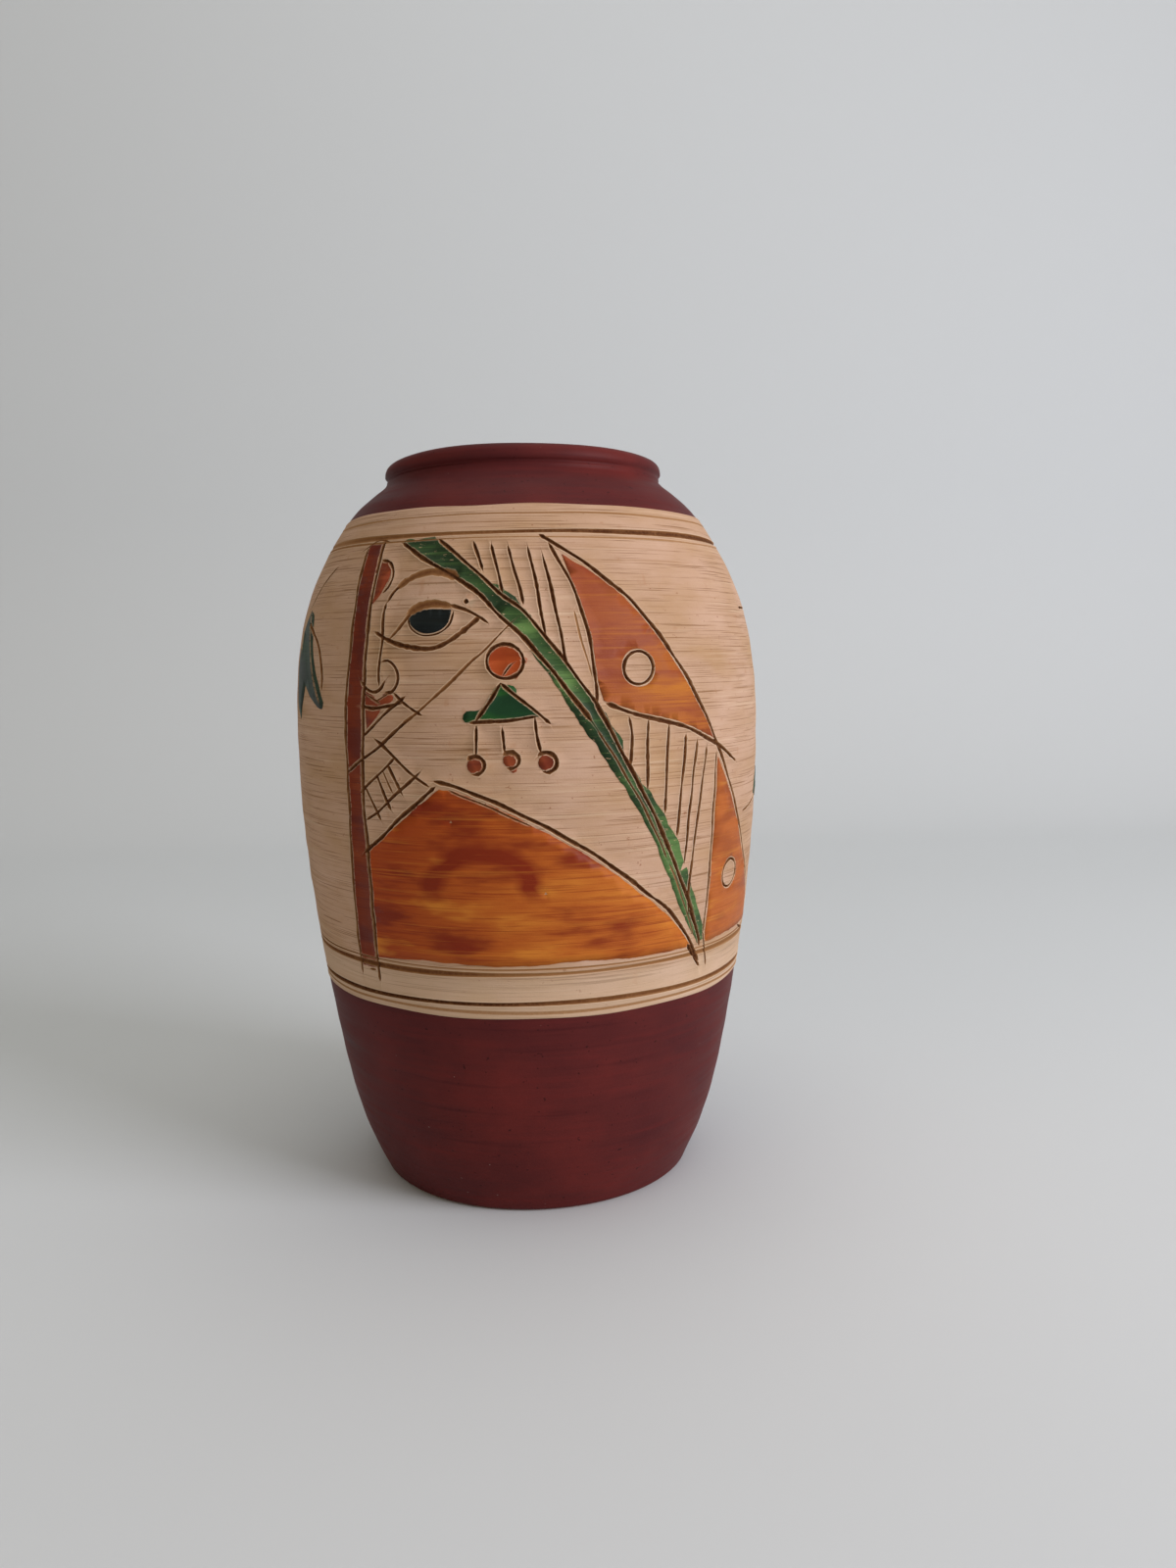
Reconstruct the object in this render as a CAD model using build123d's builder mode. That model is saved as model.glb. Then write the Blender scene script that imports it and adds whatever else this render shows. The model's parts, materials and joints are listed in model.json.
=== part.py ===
"""Incised clay vase: a thrown earthenware pot with coloured coats and painted patches.

The pot stands on the origin, +Z up, and the drawing faces -Y. All sizes are in millimetres.
A place in the drawing is an azimuth in degrees, 0 at the front and growing towards +X, and a
height above the foot.
"""
from build123d import *
import math
import os

# ---- the thrown clay -------------------------------------------------------------------------
vase_height = 238.0
foot_radius = 52.2
foot_edge_round = 1.5
foot_flare = 4.6            # how far the wall has opened at foot_flare_height
foot_flare_height = 10.0
hip_radius = 67.3
hip_height = 50.0
belly_radius = 77.0
belly_height = 150.0
shoulder_radius = 70.5
shoulder_drop = 43.0        # drops are measured down from the top of the lip
throat_radius = 38.0
neck_wall = 7.0             # clay and coats between the throat and the waist of the neck
collar_spread = 17.0        # how far the collar stands out past the waist
collar_drop = 26.0
nape_spread = 5.1           # how far the nape stands out past the waist
nape_drop = 12.0
waist_drop = 6.2
lip_bulge = 0.6             # how far the rolled lip stands out past the waist
lip_bulge_drop = 3.0
lip_inner_round = 3.5       # the lip rolls over into the throat on this radius
throat_drop = 11.0          # the straight throat ends this far below the lip
wall = 6.0
floor_thickness = 8.0
floor_corner = 14.0         # reach of the curve between wall and floor

# ---- the coats -------------------------------------------------------------------------------
slip_thickness = 0.6
slip_low = 68.2             # lower edge of the cream band
slip_high_drop = 20.0       # upper edge of the cream band
red_thickness = 0.4
paint_thickness = 0.3
ring_width = 1.0
ring_depth = 0.45
ring_rises = (4.2, 14.0)    # ring grooves above the cream band's lower edge
ring_high_drop = 28.4       # the ring groove round the shoulder

# ---- the drawing -----------------------------------------------------------------------------
drawn_low = 68.2            # the outlines below were drawn on a band that ran from here
drawn_high = 218.0          # to here, and they stretch with the band
fin_ring_radius = 5.6
side_ring_radius = 5.2
earring_radius = 4.5
drop_radius = 1.9
fruit_radius = 6.0
leaf_length = 27.0
leaf_width = 9.0

slip_high = vase_height - slip_high_drop
waist_radius = throat_radius + neck_wall
collar_radius = waist_radius + collar_spread
nape_radius = waist_radius + nape_spread
lip_crest_radius = throat_radius + lip_inner_round
outside_points = [
    (foot_radius, 0.0),
    (foot_radius + foot_flare, foot_flare_height),
    (hip_radius, hip_height),
    (belly_radius, belly_height),
    (shoulder_radius, vase_height - shoulder_drop),
    (collar_radius, vase_height - collar_drop),
    (nape_radius, vase_height - nape_drop),
    (waist_radius, vase_height - waist_drop),
    (waist_radius + lip_bulge, vase_height - lip_bulge_drop),
    (lip_crest_radius, vase_height),
]
outside_leans = ((0.45, 1.0), (-1.0, 0.0))      # how the outside starts at the foot and ends

with BuildLine() as outside_line:
    Spline(*outside_points, tangents=outside_leans)
outside = outside_line.edges()[0]
share_of_waist = outside.param_at_point(Vector(waist_radius, vase_height - waist_drop))


def coat_point(share, thickness):
    """Radius and height a share of the way along the outside, moved out by a coat."""
    point = outside @ share
    lean = outside % share
    return (point.X + thickness * lean.Y, point.Y - thickness * lean.X)


def share_at(height, thickness=0.0):
    """The share of the way along the outside where a coat is at this height."""
    low, high = 0.0, share_of_waist
    for _ in range(30):
        middle = (low + high) / 2
        if coat_point(middle, thickness)[1] < height:
            low = middle
        else:
            high = middle
    return (low + high) / 2


def coat_line(thickness, low_share, high_share, steps):
    """Points along the outer face of a coat."""
    span = high_share - low_share
    return [coat_point(low_share + span * step / steps, thickness) for step in range(steps + 1)]


def filled_clay():
    """The clay pot filled in to the axis, which the coats are cut against."""
    with BuildPart() as filled:
        with BuildSketch(Plane.XZ):
            with BuildLine():
                Spline(*outside_points, tangents=outside_leans)
                Polyline(outside_points[-1], (0, vase_height), (0, 0), outside_points[0])
            make_face()
        revolve(axis=Axis.Z)
    return filled.part


def filled_pot(thickness, low, high):
    """The pot between two heights, filled in to the axis, out to the face of a coat."""
    line = coat_line(thickness, share_at(low, thickness), share_at(high, thickness), 16)
    with BuildPart() as filled:
        with BuildSketch(Plane.XZ):
            with BuildLine():
                Spline(*line)
                Polyline(line[-1], (0, line[-1][1]), (0, line[0][1]), line[0])
            make_face()
        revolve(axis=Axis.Z)
    return filled.part


# ---- clay ------------------------------------------------------------------------------------
def make_clay_body():
    """Floor, wall, shoulder, neck and rolled lip, thrown as one piece."""
    inner_heights = (vase_height - collar_drop, vase_height - shoulder_drop, belly_height,
                     (belly_height + hip_height) / 2, hip_height)
    inner = [coat_point(share_at(height), -wall) for height in inner_heights]
    corner_share = share_at(floor_thickness + floor_corner)
    corner = coat_point(corner_share, -wall)
    corner_lean = outside % corner_share
    under_corner = corner[0] - (corner[1] - floor_thickness) * corner_lean.X / corner_lean.Y
    throat_end = (throat_radius, vase_height - throat_drop)
    roll = lip_inner_round * (1 - math.sqrt(0.5))
    with BuildPart() as clay:
        with BuildSketch(Plane.XZ):
            with BuildLine():
                Spline(*outside_points, tangents=outside_leans)
                rim = ThreePointArc((lip_crest_radius, vase_height),
                                    (throat_radius + roll, vase_height - roll),
                                    (throat_radius, vase_height - lip_inner_round))
                Line(rim @ 1, throat_end)
                Spline(throat_end, *inner, corner, tangents=((0, -1), -corner_lean))
                Bezier(corner, (under_corner, floor_thickness),
                       (under_corner - floor_corner, floor_thickness))
                Polyline((under_corner - floor_corner, floor_thickness), (0, floor_thickness),
                         (0, 0), (foot_radius, 0))
            make_face()
        revolve(axis=Axis.Z)
        foot_edge = clay.edges().filter_by(GeomType.CIRCLE).sort_by(Axis.Z)[0]
        fillet(foot_edge, foot_edge_round)
    clay.part.label = "clay_body"
    return clay


# ---- coats -----------------------------------------------------------------------------------
def make_cream_slip():
    """The pale band round the middle, with its ring grooves."""
    grooves = [slip_low + rise for rise in ring_rises] + [vase_height - ring_high_drop]
    with BuildPart() as slip:
        add(filled_pot(slip_thickness, slip_low, slip_high))
        add(bare_pot, mode=Mode.SUBTRACT)
        for height in grooves:
            face = coat_point(share_at(height, slip_thickness), slip_thickness)[0]
            with BuildSketch(Plane.XZ):
                with BuildLine():
                    Polyline((face + ring_width, height + ring_width),
                             (face - ring_depth, height),
                             (face + ring_width, height - ring_width), close=True)
                make_face()
            revolve(axis=Axis.Z, mode=Mode.SUBTRACT)
    slip.part.label = "cream_slip_coat"
    return slip


def make_red_foot():
    """The oxblood coat below the cream band, down to the rounded foot edge."""
    with BuildPart() as red:
        add(filled_pot(red_thickness, foot_edge_round, slip_low))
        add(bare_pot, mode=Mode.SUBTRACT)
    red.part.label = "red_foot_coat"
    return red


def make_red_neck():
    """The oxblood coat over the shoulder, the neck and the lip, which ends as it meets the throat."""
    face = coat_line(red_thickness, share_at(slip_high, red_thickness), 1.0, 24)
    back = coat_line(0.0, share_at(slip_high), 1.0, 24)
    roll_radius = lip_inner_round + red_thickness
    roll_centre = (lip_crest_radius, vase_height - lip_inner_round)
    end_turn = math.acos(lip_inner_round / roll_radius)

    def on_roll(turn):
        return (roll_centre[0] - roll_radius * math.cos(turn),
                roll_centre[1] + roll_radius * math.sin(turn))

    with BuildPart() as red:
        with BuildSketch(Plane.XZ):
            with BuildLine():
                Spline(*face)
                over = ThreePointArc(face[-1], on_roll((end_turn + math.pi / 2) / 2),
                                     on_roll(end_turn))
                Polyline(over @ 1, roll_centre,
                         (nape_radius - wall / 4, vase_height - nape_drop),
                         (back[0][0] - wall / 4, slip_high), face[0])
            make_face()
        revolve(axis=Axis.Z)
        add(clay_body.part, mode=Mode.SUBTRACT)
    red.part.label = "red_neck_coat"
    return red


# ---- painted patches -------------------------------------------------------------------------
def stretched(height):
    """A height in the drawing, carried to the cream band as it is now."""
    return slip_low + (height - drawn_low) * (slip_high - slip_low) / (drawn_high - drawn_low)


def drawn(azimuth, height, facing):
    """A place in the drawing, seen square on from an azimuth, as a point of that view."""
    rise = stretched(height)
    radius = coat_point(share_at(rise, slip_thickness), slip_thickness)[0]
    return (radius * math.sin(math.radians(azimuth - facing)), rise)


def view_plane(facing):
    """The upright plane that faces an azimuth, inside the pot's wall."""
    turn = math.radians(facing)
    outwards = Vector(math.sin(turn), -math.cos(turn), 0)
    return Plane(origin=outwards * foot_radius / 2, x_dir=(math.cos(turn), math.sin(turn), 0),
                 z_dir=outwards)


def make_patch(label, facing, runs=(), discs=(), holes=(), shapes=()):
    """A coat of paint with the outline of the runs, discs and shapes, less the holes.

    A run is a list of places: two are joined straight, more by a smooth curve, and each run
    starts where the last one ended. A shape is a closed outline in the view plane.
    """
    with BuildPart() as patch:
        with BuildSketch(view_plane(facing)):
            if runs:
                with BuildLine():
                    for run in runs:
                        points = [drawn(*place, facing) for place in run]
                        if len(points) == 2:
                            Line(*points)
                        else:
                            Spline(*points)
                make_face()
            for shape in shapes:
                with BuildLine():
                    for run in shape:
                        Spline(*run)
                make_face()
            for place, radius in discs:
                with Locations(drawn(*place, facing)):
                    Circle(radius)
            for place, radius in holes:
                with Locations(drawn(*place, facing)):
                    Circle(radius, mode=Mode.SUBTRACT)
        extrude(amount=belly_radius)
        add(paint_layer, mode=Mode.INTERSECT)
    patch.part.label = label
    return patch


def make_post_stripe():
    """The upright brown stripe at the left of the drawing."""
    left = [(-45.0, 207.6), (-43.3, 190), (-42.9, 172), (-43.9, 150), (-44.4, 130), (-45.0, 104),
            (-45.9, 81)]
    right = [(-40.3, 81), (-39.5, 107), (-39.4, 130), (-38.9, 150), (-38.3, 172), (-38.8, 190),
             (-39.8, 208.2)]
    return make_patch("brown_post_stripe", -42, [left, [left[-1], right[0]], right,
                                                 [right[-1], left[0]]])


def make_forehead_disc():
    """The brown half disc that leans on the stripe."""
    bow = [(-37.9, 202.2), (-35.2, 201.0), (-34.3, 197.8), (-35.4, 193.6), (-37.6, 190.6)]
    return make_patch("forehead_half_disc", -36, [bow, [bow[-1], bow[0]]])


def make_pupil():
    """The dark half round of the eye, flat on top."""
    top = [(-26.4, 185.2), (-24.1, 186.8), (-21.0, 187.2), (-17.0, 187.0)]
    bowl = [top[-1], (-17.2, 184.4), (-19.0, 182.0), (-21.4, 181.2), (-23.8, 182.2), top[0]]
    return make_patch("eye_pupil", -21.5, [top, bowl])


def make_lips():
    """The upper and the lower lip, two solids."""
    upper = [(-37.2, 163.4), (-35.4, 163.0), (-34.2, 161.6), (-32.8, 163.0), (-31.2, 163.0),
             (-31.4, 161.2), (-33.5, 160.4), (-37.2, 160.4)]
    lower = [(-37.4, 159.0), (-33.6, 159.0), (-34.6, 157.0), (-36.9, 154.8)]
    with BuildPart() as lips:
        for outline in (upper, lower):
            sides = [[a, b] for a, b in zip(outline, outline[1:] + outline[:1])]
            add(make_patch("lip", -35, sides).part)
    lips.part.label = "lip_patches"
    return lips


def make_hair_band():
    """The long green band that falls from the shoulder ring to the lower rings."""
    under = [(-33.3, 207.6), (-27.7, 204.2), (-21.9, 200.2), (-12.0, 194.0), (-6.1, 186.2),
             (0.6, 176.4), (9.6, 160.4), (18.1, 143.5), (28.3, 122.8), (37.4, 98.8), (43.5, 86.5)]
    over = [(45.3, 87.4), (44.3, 95.4), (37.0, 114.8), (30.8, 128.2), (20.6, 148.9),
            (11.8, 165.8), (2.9, 181.0), (-6.1, 191.9), (-14.3, 200.4), (-19.6, 205.2),
            (-23.7, 208.0)]
    return make_patch("green_hair_band", 6, [under, [under[-1], over[0]], over,
                                             [over[-1], under[0]]])


def make_upper_fin():
    """The large orange fin, with a bare ring in it."""
    outer = [(9.6, 201.6), (16.0, 197.0), (25.0, 186.6), (33.0, 173.2), (39.0, 162.2),
             (45.2, 149.9)]
    bottom = [outer[-1], (34.9, 154.3), (25.2, 157.3), (17.1, 161.2)]
    inner = [bottom[-1], (14.9, 166.0), (13.9, 178.0), (12.2, 188.3), outer[0]]
    return make_patch("upper_fin_panel", 27, [outer, bottom, inner],
                      holes=[((24.5, 170.1), fin_ring_radius)])


def make_side_fin():
    """The small orange fin at the lower right, with a bare ring in it."""
    inner = [(47.4, 141.0), (46.9, 120.0), (46.6, 102.0), (46.3, 85.4)]
    outer = [(76.0, 86.4), (68.3, 101.6), (59.4, 117.6), (50.4, 137.0), inner[0]]
    return make_patch("side_fin_panel", 62, [inner, [inner[-1], outer[0]], outer],
                      holes=[((55.4, 105.0), side_ring_radius)])


def make_robe():
    """The large orange field at the bottom of the drawing."""
    left = [(-38.3, 117.2), (-38.4, 100.0), (-38.8, 84.4)]
    right = [(39.5, 85.4), (33.0, 95.3), (25.0, 103.6), (15.0, 114.0), (5.0, 122.2),
             (-5.0, 129.4), (-16.0, 135.6)]
    crown = [right[-1], (-19.9, 136.6)]
    slope = [crown[-1], (-27.6, 129.0), left[0]]
    return make_patch("robe_panel", 0, [left, [left[-1], right[0]], right, crown, slope])


def make_earring_disc():
    """The round orange stone of the earring."""
    return make_patch("earring_disc", -4.7, discs=[((-4.7, 172.5), earring_radius)])


def make_earring_triangle():
    """The green triangle that hangs from the stone."""
    left = [(-6.4, 165.8), (-8.6, 161.5), (-10.4, 158.6), (-12.4, 157.4), (-11.6, 156.4)]
    right = [(1.0, 157.4), (-1.0, 160.6), (-2.7, 163.4)]
    top = [right[-1], (-3.2, 165.4), left[0]]
    return make_patch("earring_triangle", -5, [left, [left[-1], right[0]], right, top])


def make_earring_drops():
    """The three small drops under the triangle, as separate solids in one node."""
    centres = ((-11.4, 143.4), (-4.0, 145.0), (3.4, 144.2))
    return make_patch("earring_drops", -4, discs=[(centre, drop_radius) for centre in centres])


def make_left_leaves():
    """The green leaf pair at the left side."""
    front = [(-66.6, 189.2), (-62.6, 186.2), (-60.4, 177.6), (-56.6, 169.0), (-52.9, 159.6)]
    crotch = [front[-1], (-54.6, 157.6), (-59.4, 161.6), (-64.8, 166.0)]
    rear = [crotch[-1], (-66.4, 160.6), (-68.6, 154.8)]
    outer = [rear[-1], (-71.6, 160.0), (-72.6, 170.0), (-71.0, 180.0), front[0]]
    return make_patch("left_leaf_pair", -63, [front, crotch, rear, outer])


def make_right_leaf():
    """The green blade at the right side, seen nearly edge on from the front."""
    top = [(72.8, 128.2), (74.6, 134.6), (80.0, 136.2), (90.0, 131.0), (96.0, 125.0)]
    bottom = [top[-1], (84.0, 126.2), (76.0, 126.8), top[0]]
    return make_patch("right_leaf", 84, [top, bottom])


def leaf_outline(base, lean):
    """Both sides of a pointed leaf that starts at a base point and leans by an angle."""
    along = (math.sin(math.radians(lean)), math.cos(math.radians(lean)))
    tip = (base[0] + leaf_length * along[0], base[1] + leaf_length * along[1])

    def side(offset):
        return [(base[0] + share * leaf_length * along[0] + offset * width * along[1],
                 base[1] + share * leaf_length * along[1] - offset * width * along[0])
                for share, width in ((0.3, 0.44 * leaf_width), (0.65, 0.4 * leaf_width))]

    return [[base, *side(1), tip], [tip, *reversed(side(-1)), base]]


def make_back_sprig():
    """A plain spray of seven leaves on the back, each its own solid."""
    facing = 180
    leaves = [((2.5, 104), 58), ((-2.5, 104), -58), ((2.5, 128), 50), ((-2.5, 128), -50),
              ((2.5, 152), 42), ((-2.5, 152), -42), ((0.0, 168), 0)]
    shapes = []
    for (away, height), lean in leaves:
        shapes.append(leaf_outline(drawn(facing + away, height, facing), lean))
    return make_patch("back_leaf_sprig", facing, shapes=shapes)


def make_back_fruit():
    """Three orange fruit discs beside the spray, as separate solids in one node."""
    centres = ((152.0, 186.0), (208.0, 186.0), (180.0, 92.0))
    return make_patch("back_fruit_discs", 180, discs=[(place, fruit_radius) for place in centres])


# ---- the whole vase --------------------------------------------------------------------------
clay_body = make_clay_body()
bare_pot = filled_clay()
with BuildPart() as paint_layer_part:
    add(filled_pot(slip_thickness + paint_thickness, slip_low, slip_high))
    add(filled_pot(slip_thickness, slip_low, slip_high), mode=Mode.SUBTRACT)
paint_layer = paint_layer_part.part

pieces = [
    clay_body,
    make_cream_slip(),
    make_red_foot(),
    make_red_neck(),
    make_post_stripe(),
    make_forehead_disc(),
    make_pupil(),
    make_lips(),
    make_hair_band(),
    make_upper_fin(),
    make_side_fin(),
    make_robe(),
    make_earring_disc(),
    make_earring_triangle(),
    make_earring_drops(),
    make_left_leaves(),
    make_right_leaf(),
    make_back_sprig(),
    make_back_fruit(),
]

os.makedirs("parts", exist_ok=True)
for piece in pieces:
    export_step(piece.part, f"parts/{piece.part.label}.step")
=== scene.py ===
"""Incised clay vase: slip, oxblood coats, scratched drawing and paint, built round the CAD frame.

The vase stands on the origin, +Z up, and the drawing faces -Y. Sizes in the code are millimetres
and become metres when a mesh is made. A place in the drawing is (azimuth in degrees, height):
azimuth 0 is the front and grows towards +X.
"""
import json
import math

import bmesh
import bpy
import numpy as np
from mathutils import Matrix, Vector, kdtree
from mathutils.geometry import delaunay_2d_cdt


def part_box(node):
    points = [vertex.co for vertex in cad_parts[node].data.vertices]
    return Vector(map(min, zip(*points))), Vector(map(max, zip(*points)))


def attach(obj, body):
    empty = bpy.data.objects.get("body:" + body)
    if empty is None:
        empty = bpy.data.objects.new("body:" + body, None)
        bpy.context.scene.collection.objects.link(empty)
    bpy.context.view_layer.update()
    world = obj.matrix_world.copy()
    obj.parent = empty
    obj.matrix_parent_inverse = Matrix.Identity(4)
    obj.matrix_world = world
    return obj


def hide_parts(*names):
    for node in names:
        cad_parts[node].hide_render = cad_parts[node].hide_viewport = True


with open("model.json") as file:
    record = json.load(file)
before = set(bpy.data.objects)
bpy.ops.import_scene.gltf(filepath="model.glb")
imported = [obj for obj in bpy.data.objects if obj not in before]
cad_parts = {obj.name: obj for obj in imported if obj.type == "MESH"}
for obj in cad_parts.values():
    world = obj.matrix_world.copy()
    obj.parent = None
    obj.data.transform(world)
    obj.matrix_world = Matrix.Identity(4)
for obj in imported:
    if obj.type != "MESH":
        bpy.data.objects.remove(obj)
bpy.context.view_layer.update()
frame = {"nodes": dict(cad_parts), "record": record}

MM = 0.001
BODY = "root"

# ---- sizes that the frame gives ----------------------------------------------------------------


def node_rows(node, pick, low, high, step):
    """Heights and radii of a CAD node's outermost or innermost points, one for each step up."""
    points = np.array([vertex.co for vertex in frame["nodes"][node].data.vertices]) / MM
    radius = np.hypot(points[:, 0], points[:, 1])
    rows = []
    for floor in np.arange(low, high, step):
        inside = (points[:, 2] >= floor) & (points[:, 2] < floor + step)
        if inside.any():
            spare = math.inf if pick is np.argmin else -math.inf
            best = pick(np.where(inside, radius, spare))
            rows.append((points[best, 2], radius[best]))
    return np.array(rows).T


def smooth_through(rows):
    """A function of height that runs smoothly through rows of heights and radii."""
    heights, radii = rows
    slopes = np.gradient(radii, heights)

    def at(height):
        spot = np.clip(np.searchsorted(heights, height) - 1, 0, len(heights) - 2)
        span = heights[spot + 1] - heights[spot]
        t = np.clip((height - heights[spot]) / span, 0, 1)
        return ((2 * t**3 - 3 * t**2 + 1) * radii[spot] + (t**3 - 2 * t**2 + t) * span * slopes[spot]
                + (3 * t**2 - 2 * t**3) * radii[spot + 1] + (t**3 - t**2) * span * slopes[spot + 1])

    return at


VASE_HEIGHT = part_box("clay_body")[1][2] / MM
SLIP_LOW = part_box("cream_slip_coat")[0][2] / MM
SLIP_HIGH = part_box("cream_slip_coat")[1][2] / MM
THROAT_RADIUS = next(mount["dims"]["r_mm"] for mount in frame["record"]["mounts"]
                     if mount["name"] == "throat")
clay_radius = smooth_through(np.hstack((
    node_rows("clay_body", np.argmax, 0.6, 1.0, 0.4),
    node_rows("clay_body", np.argmax, 1.5, VASE_HEIGHT - 3.0, 4.0))))
inner_radius = smooth_through(node_rows("clay_body", np.argmin, 12.0, VASE_HEIGHT - 14.0, 6.0))
FOOT_RADIUS = float(clay_radius(1.5))

# ---- thicknesses -------------------------------------------------------------------------------
SLIP = 0.6                  # cream slip over the clay
RED = 0.4                   # oxblood coat over the clay
PAINT = 0.13                # how far a painted patch stands proud of the slip
PAINT_DEPTH = 0.35          # whole thickness of a painted patch, most of it sunk in the slip
TUCK = 0.3                  # how far a coat's hidden back lies inside the clay

# ---- the hand of the potter --------------------------------------------------------------------
UNROLLED_RADIUS = 75.0      # the drawn band is worked on flat, unrolled from this radius
SEAM = 130.0                # azimuth where the flat band is joined up, clear of any drawing
GRID = 2.7                  # spacing of the plain part of the band's net
CROWD, SEAM_CROWD = 0.55 * GRID, 0.2                   # how near to a line its points may lie
EDGE_MARGIN = 1.6           # and how near to the slip's edges
EDGE_STEP = 1.6             # spacing of points along the slip's upper and lower edge
EDGE_INSETS = (0.0, 0.45, 1.1)                         # lines of the net along those edges
EDGE_RIDGE = 0.16           # how far the brushed-up edge stands proud
STEP = 1.15                 # spacing of points along a scratched line
SLIVER = 1e-7               # double area in mm2 below which a triangle is left out
WELD = 1e-6                 # metres within which doubled points are one
SEAM_WELD = 5e-5            # metres; the two ends of the unrolled band differ by less than this


def waver(turn, size, seed, lowest=2, waves=6):
    """A gentle unevenness that closes on itself round the pot."""
    phases = np.random.default_rng(seed).uniform(0, 2 * math.pi, waves)
    total = 0
    for wave, phase in enumerate(phases):
        total = total + np.sin((lowest + wave) * turn + phase) / (1 + 0.5 * wave)
    return size * total / 2


def out_of_round(turn, height):
    """How far the thrown wall strays from a true circle, with its faint finger ridges."""
    sway = 0.22 * np.sin(turn + 0.7) * np.sin(height / 75.0) + 0.16 * np.sin(2 * turn + height / 48.0)
    return sway + 0.05 * np.sin(height / 1.9 + 1.5 * np.sin(turn)) + waver(turn, 0.05, 3)


def on_pot(azimuth, height, off_clay):
    """A point in metres at an azimuth in degrees and a height, this far off the clay."""
    turn = math.radians(azimuth)
    radius = float(clay_radius(height)) + off_clay + float(out_of_round(turn, height))
    return Vector((radius * math.sin(turn), -radius * math.cos(turn), height)) * MM


def slip_top(turn):
    """Height of the cream slip's upper edge, brushed by hand."""
    return SLIP_HIGH - 0.35 + waver(turn, 0.45, 11, 1) + waver(turn, 0.16, 12, 9)


def slip_bottom(turn):
    """Height of the cream slip's lower edge."""
    return SLIP_LOW + 0.3 + waver(turn, 0.5, 21, 1) + waver(turn, 0.2, 22, 10)


# ---- materials ---------------------------------------------------------------------------------
MIX_FACTOR, MIX_FIRST, MIX_SECOND, MIX_COLOUR = 0, 6, 7, 2     # sockets of a colour Mix node


def colour(code):
    """An sRGB hex colour as linear red, green, blue, alpha."""
    parts = [int(code[place:place + 2], 16) / 255 for place in (1, 3, 5)]
    return [part / 12.92 if part <= 0.04045 else ((part + 0.055) / 1.055) ** 2.4
            for part in parts] + [1.0]


def add_node(material, kind, inputs=None, **settings):
    """Adds a shader node with its settings, and fills its inputs with values or sockets."""
    node = material.node_tree.nodes.new("ShaderNode" + kind)
    for name, value in settings.items():
        setattr(node, name, value)
    for name, value in (inputs or {}).items():
        if isinstance(value, bpy.types.NodeSocket):
            material.node_tree.links.new(value, node.inputs[name])
        else:
            node.inputs[name].default_value = value
    return node


def new_material(name, **surface):
    """A material with one Principled surface, set up from typical values."""
    material = bpy.data.materials.new(name)
    material.use_nodes = True
    material.node_tree.nodes.clear()
    shader = add_node(material, "BsdfPrincipled", {key.replace("_", " "): value
                                                   for key, value in surface.items()})
    add_node(material, "OutputMaterial", {"Surface": shader.outputs[0]})
    return material, shader


def noise(material, across, up, detail=5.0, offset=0.0, rough=0.55):
    """Noise whose grains are about this many millimetres across and up, as a 0 to 1 value."""
    place = add_node(material, "TexCoord").outputs["Object"]
    stretched = add_node(material, "Mapping", {
        "Vector": place, "Location": (offset, offset * 0.7, offset * 0.3),
        "Scale": (1 / (across * MM), 1 / (across * MM), 1 / (up * MM))})
    return add_node(material, "TexNoise", {"Vector": stretched.outputs[0], "Scale": 1.0,
                                           "Detail": detail, "Roughness": rough}).outputs[0]


def ramp(material, value, *stops, smooth=False):
    """Colours or greys along a 0 to 1 value."""
    made = add_node(material, "ValToRGB", {"Fac": value})
    made.color_ramp.interpolation = "EASE" if smooth else "LINEAR"
    while len(made.color_ramp.elements) < len(stops):
        made.color_ramp.elements.new(0.5)
    for element, (place, shade) in zip(made.color_ramp.elements, stops):
        element.position = place
        element.color = colour(shade) if isinstance(shade, str) else (shade, shade, shade, 1)
    return made.outputs[0]


def blend(material, factor, tint, shade):
    """A tint with a share of a hex shade mixed into it."""
    made = add_node(material, "Mix", {MIX_FACTOR: factor, MIX_FIRST: tint,
                                      MIX_SECOND: colour(shade)}, data_type="RGBA")
    return made.outputs[MIX_COLOUR]


def overlay(material, tint, value, start, end, shade):
    """Lays a shade over a tint, with a strength that a 0 to 1 value ramps from start to end."""
    return blend(material, ramp(material, value, start, end), tint, shade)


def calculate(material, way, *values):
    """Arithmetic on two or three values."""
    return add_node(material, "Math", dict(enumerate(values)), operation=way).outputs[0]


def between(material, value, start, end):
    """How far a length in metres has gone from start to end, both in mm, as a 0 to 1 value."""
    return add_node(material, "MapRange", {"Value": value, "From Min": start * MM,
                                           "From Max": end * MM}).outputs[0]


def marked(material, name):
    """A 0 to 1 mark that the piece's points carry: the darkness of a cut, its clay brown and painted
    shade, or its ridge.
    """
    return add_node(material, "Attribute", attribute_name=name).outputs["Fac"]


def height_on(material):
    """Height above the foot of the point being shaded."""
    spot = add_node(material, "TexCoord").outputs["Object"]
    return add_node(material, "SeparateXYZ", {0: spot}).outputs["Z"]


def reach_on(material, place):
    """Distance from a place in the drawing to the point being shaded."""
    spot = add_node(material, "TexCoord").outputs["Object"]
    return add_node(material, "VectorMath", {0: spot, 1: on_pot(*place, SLIP)},
                    operation="DISTANCE").outputs["Value"]


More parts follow.
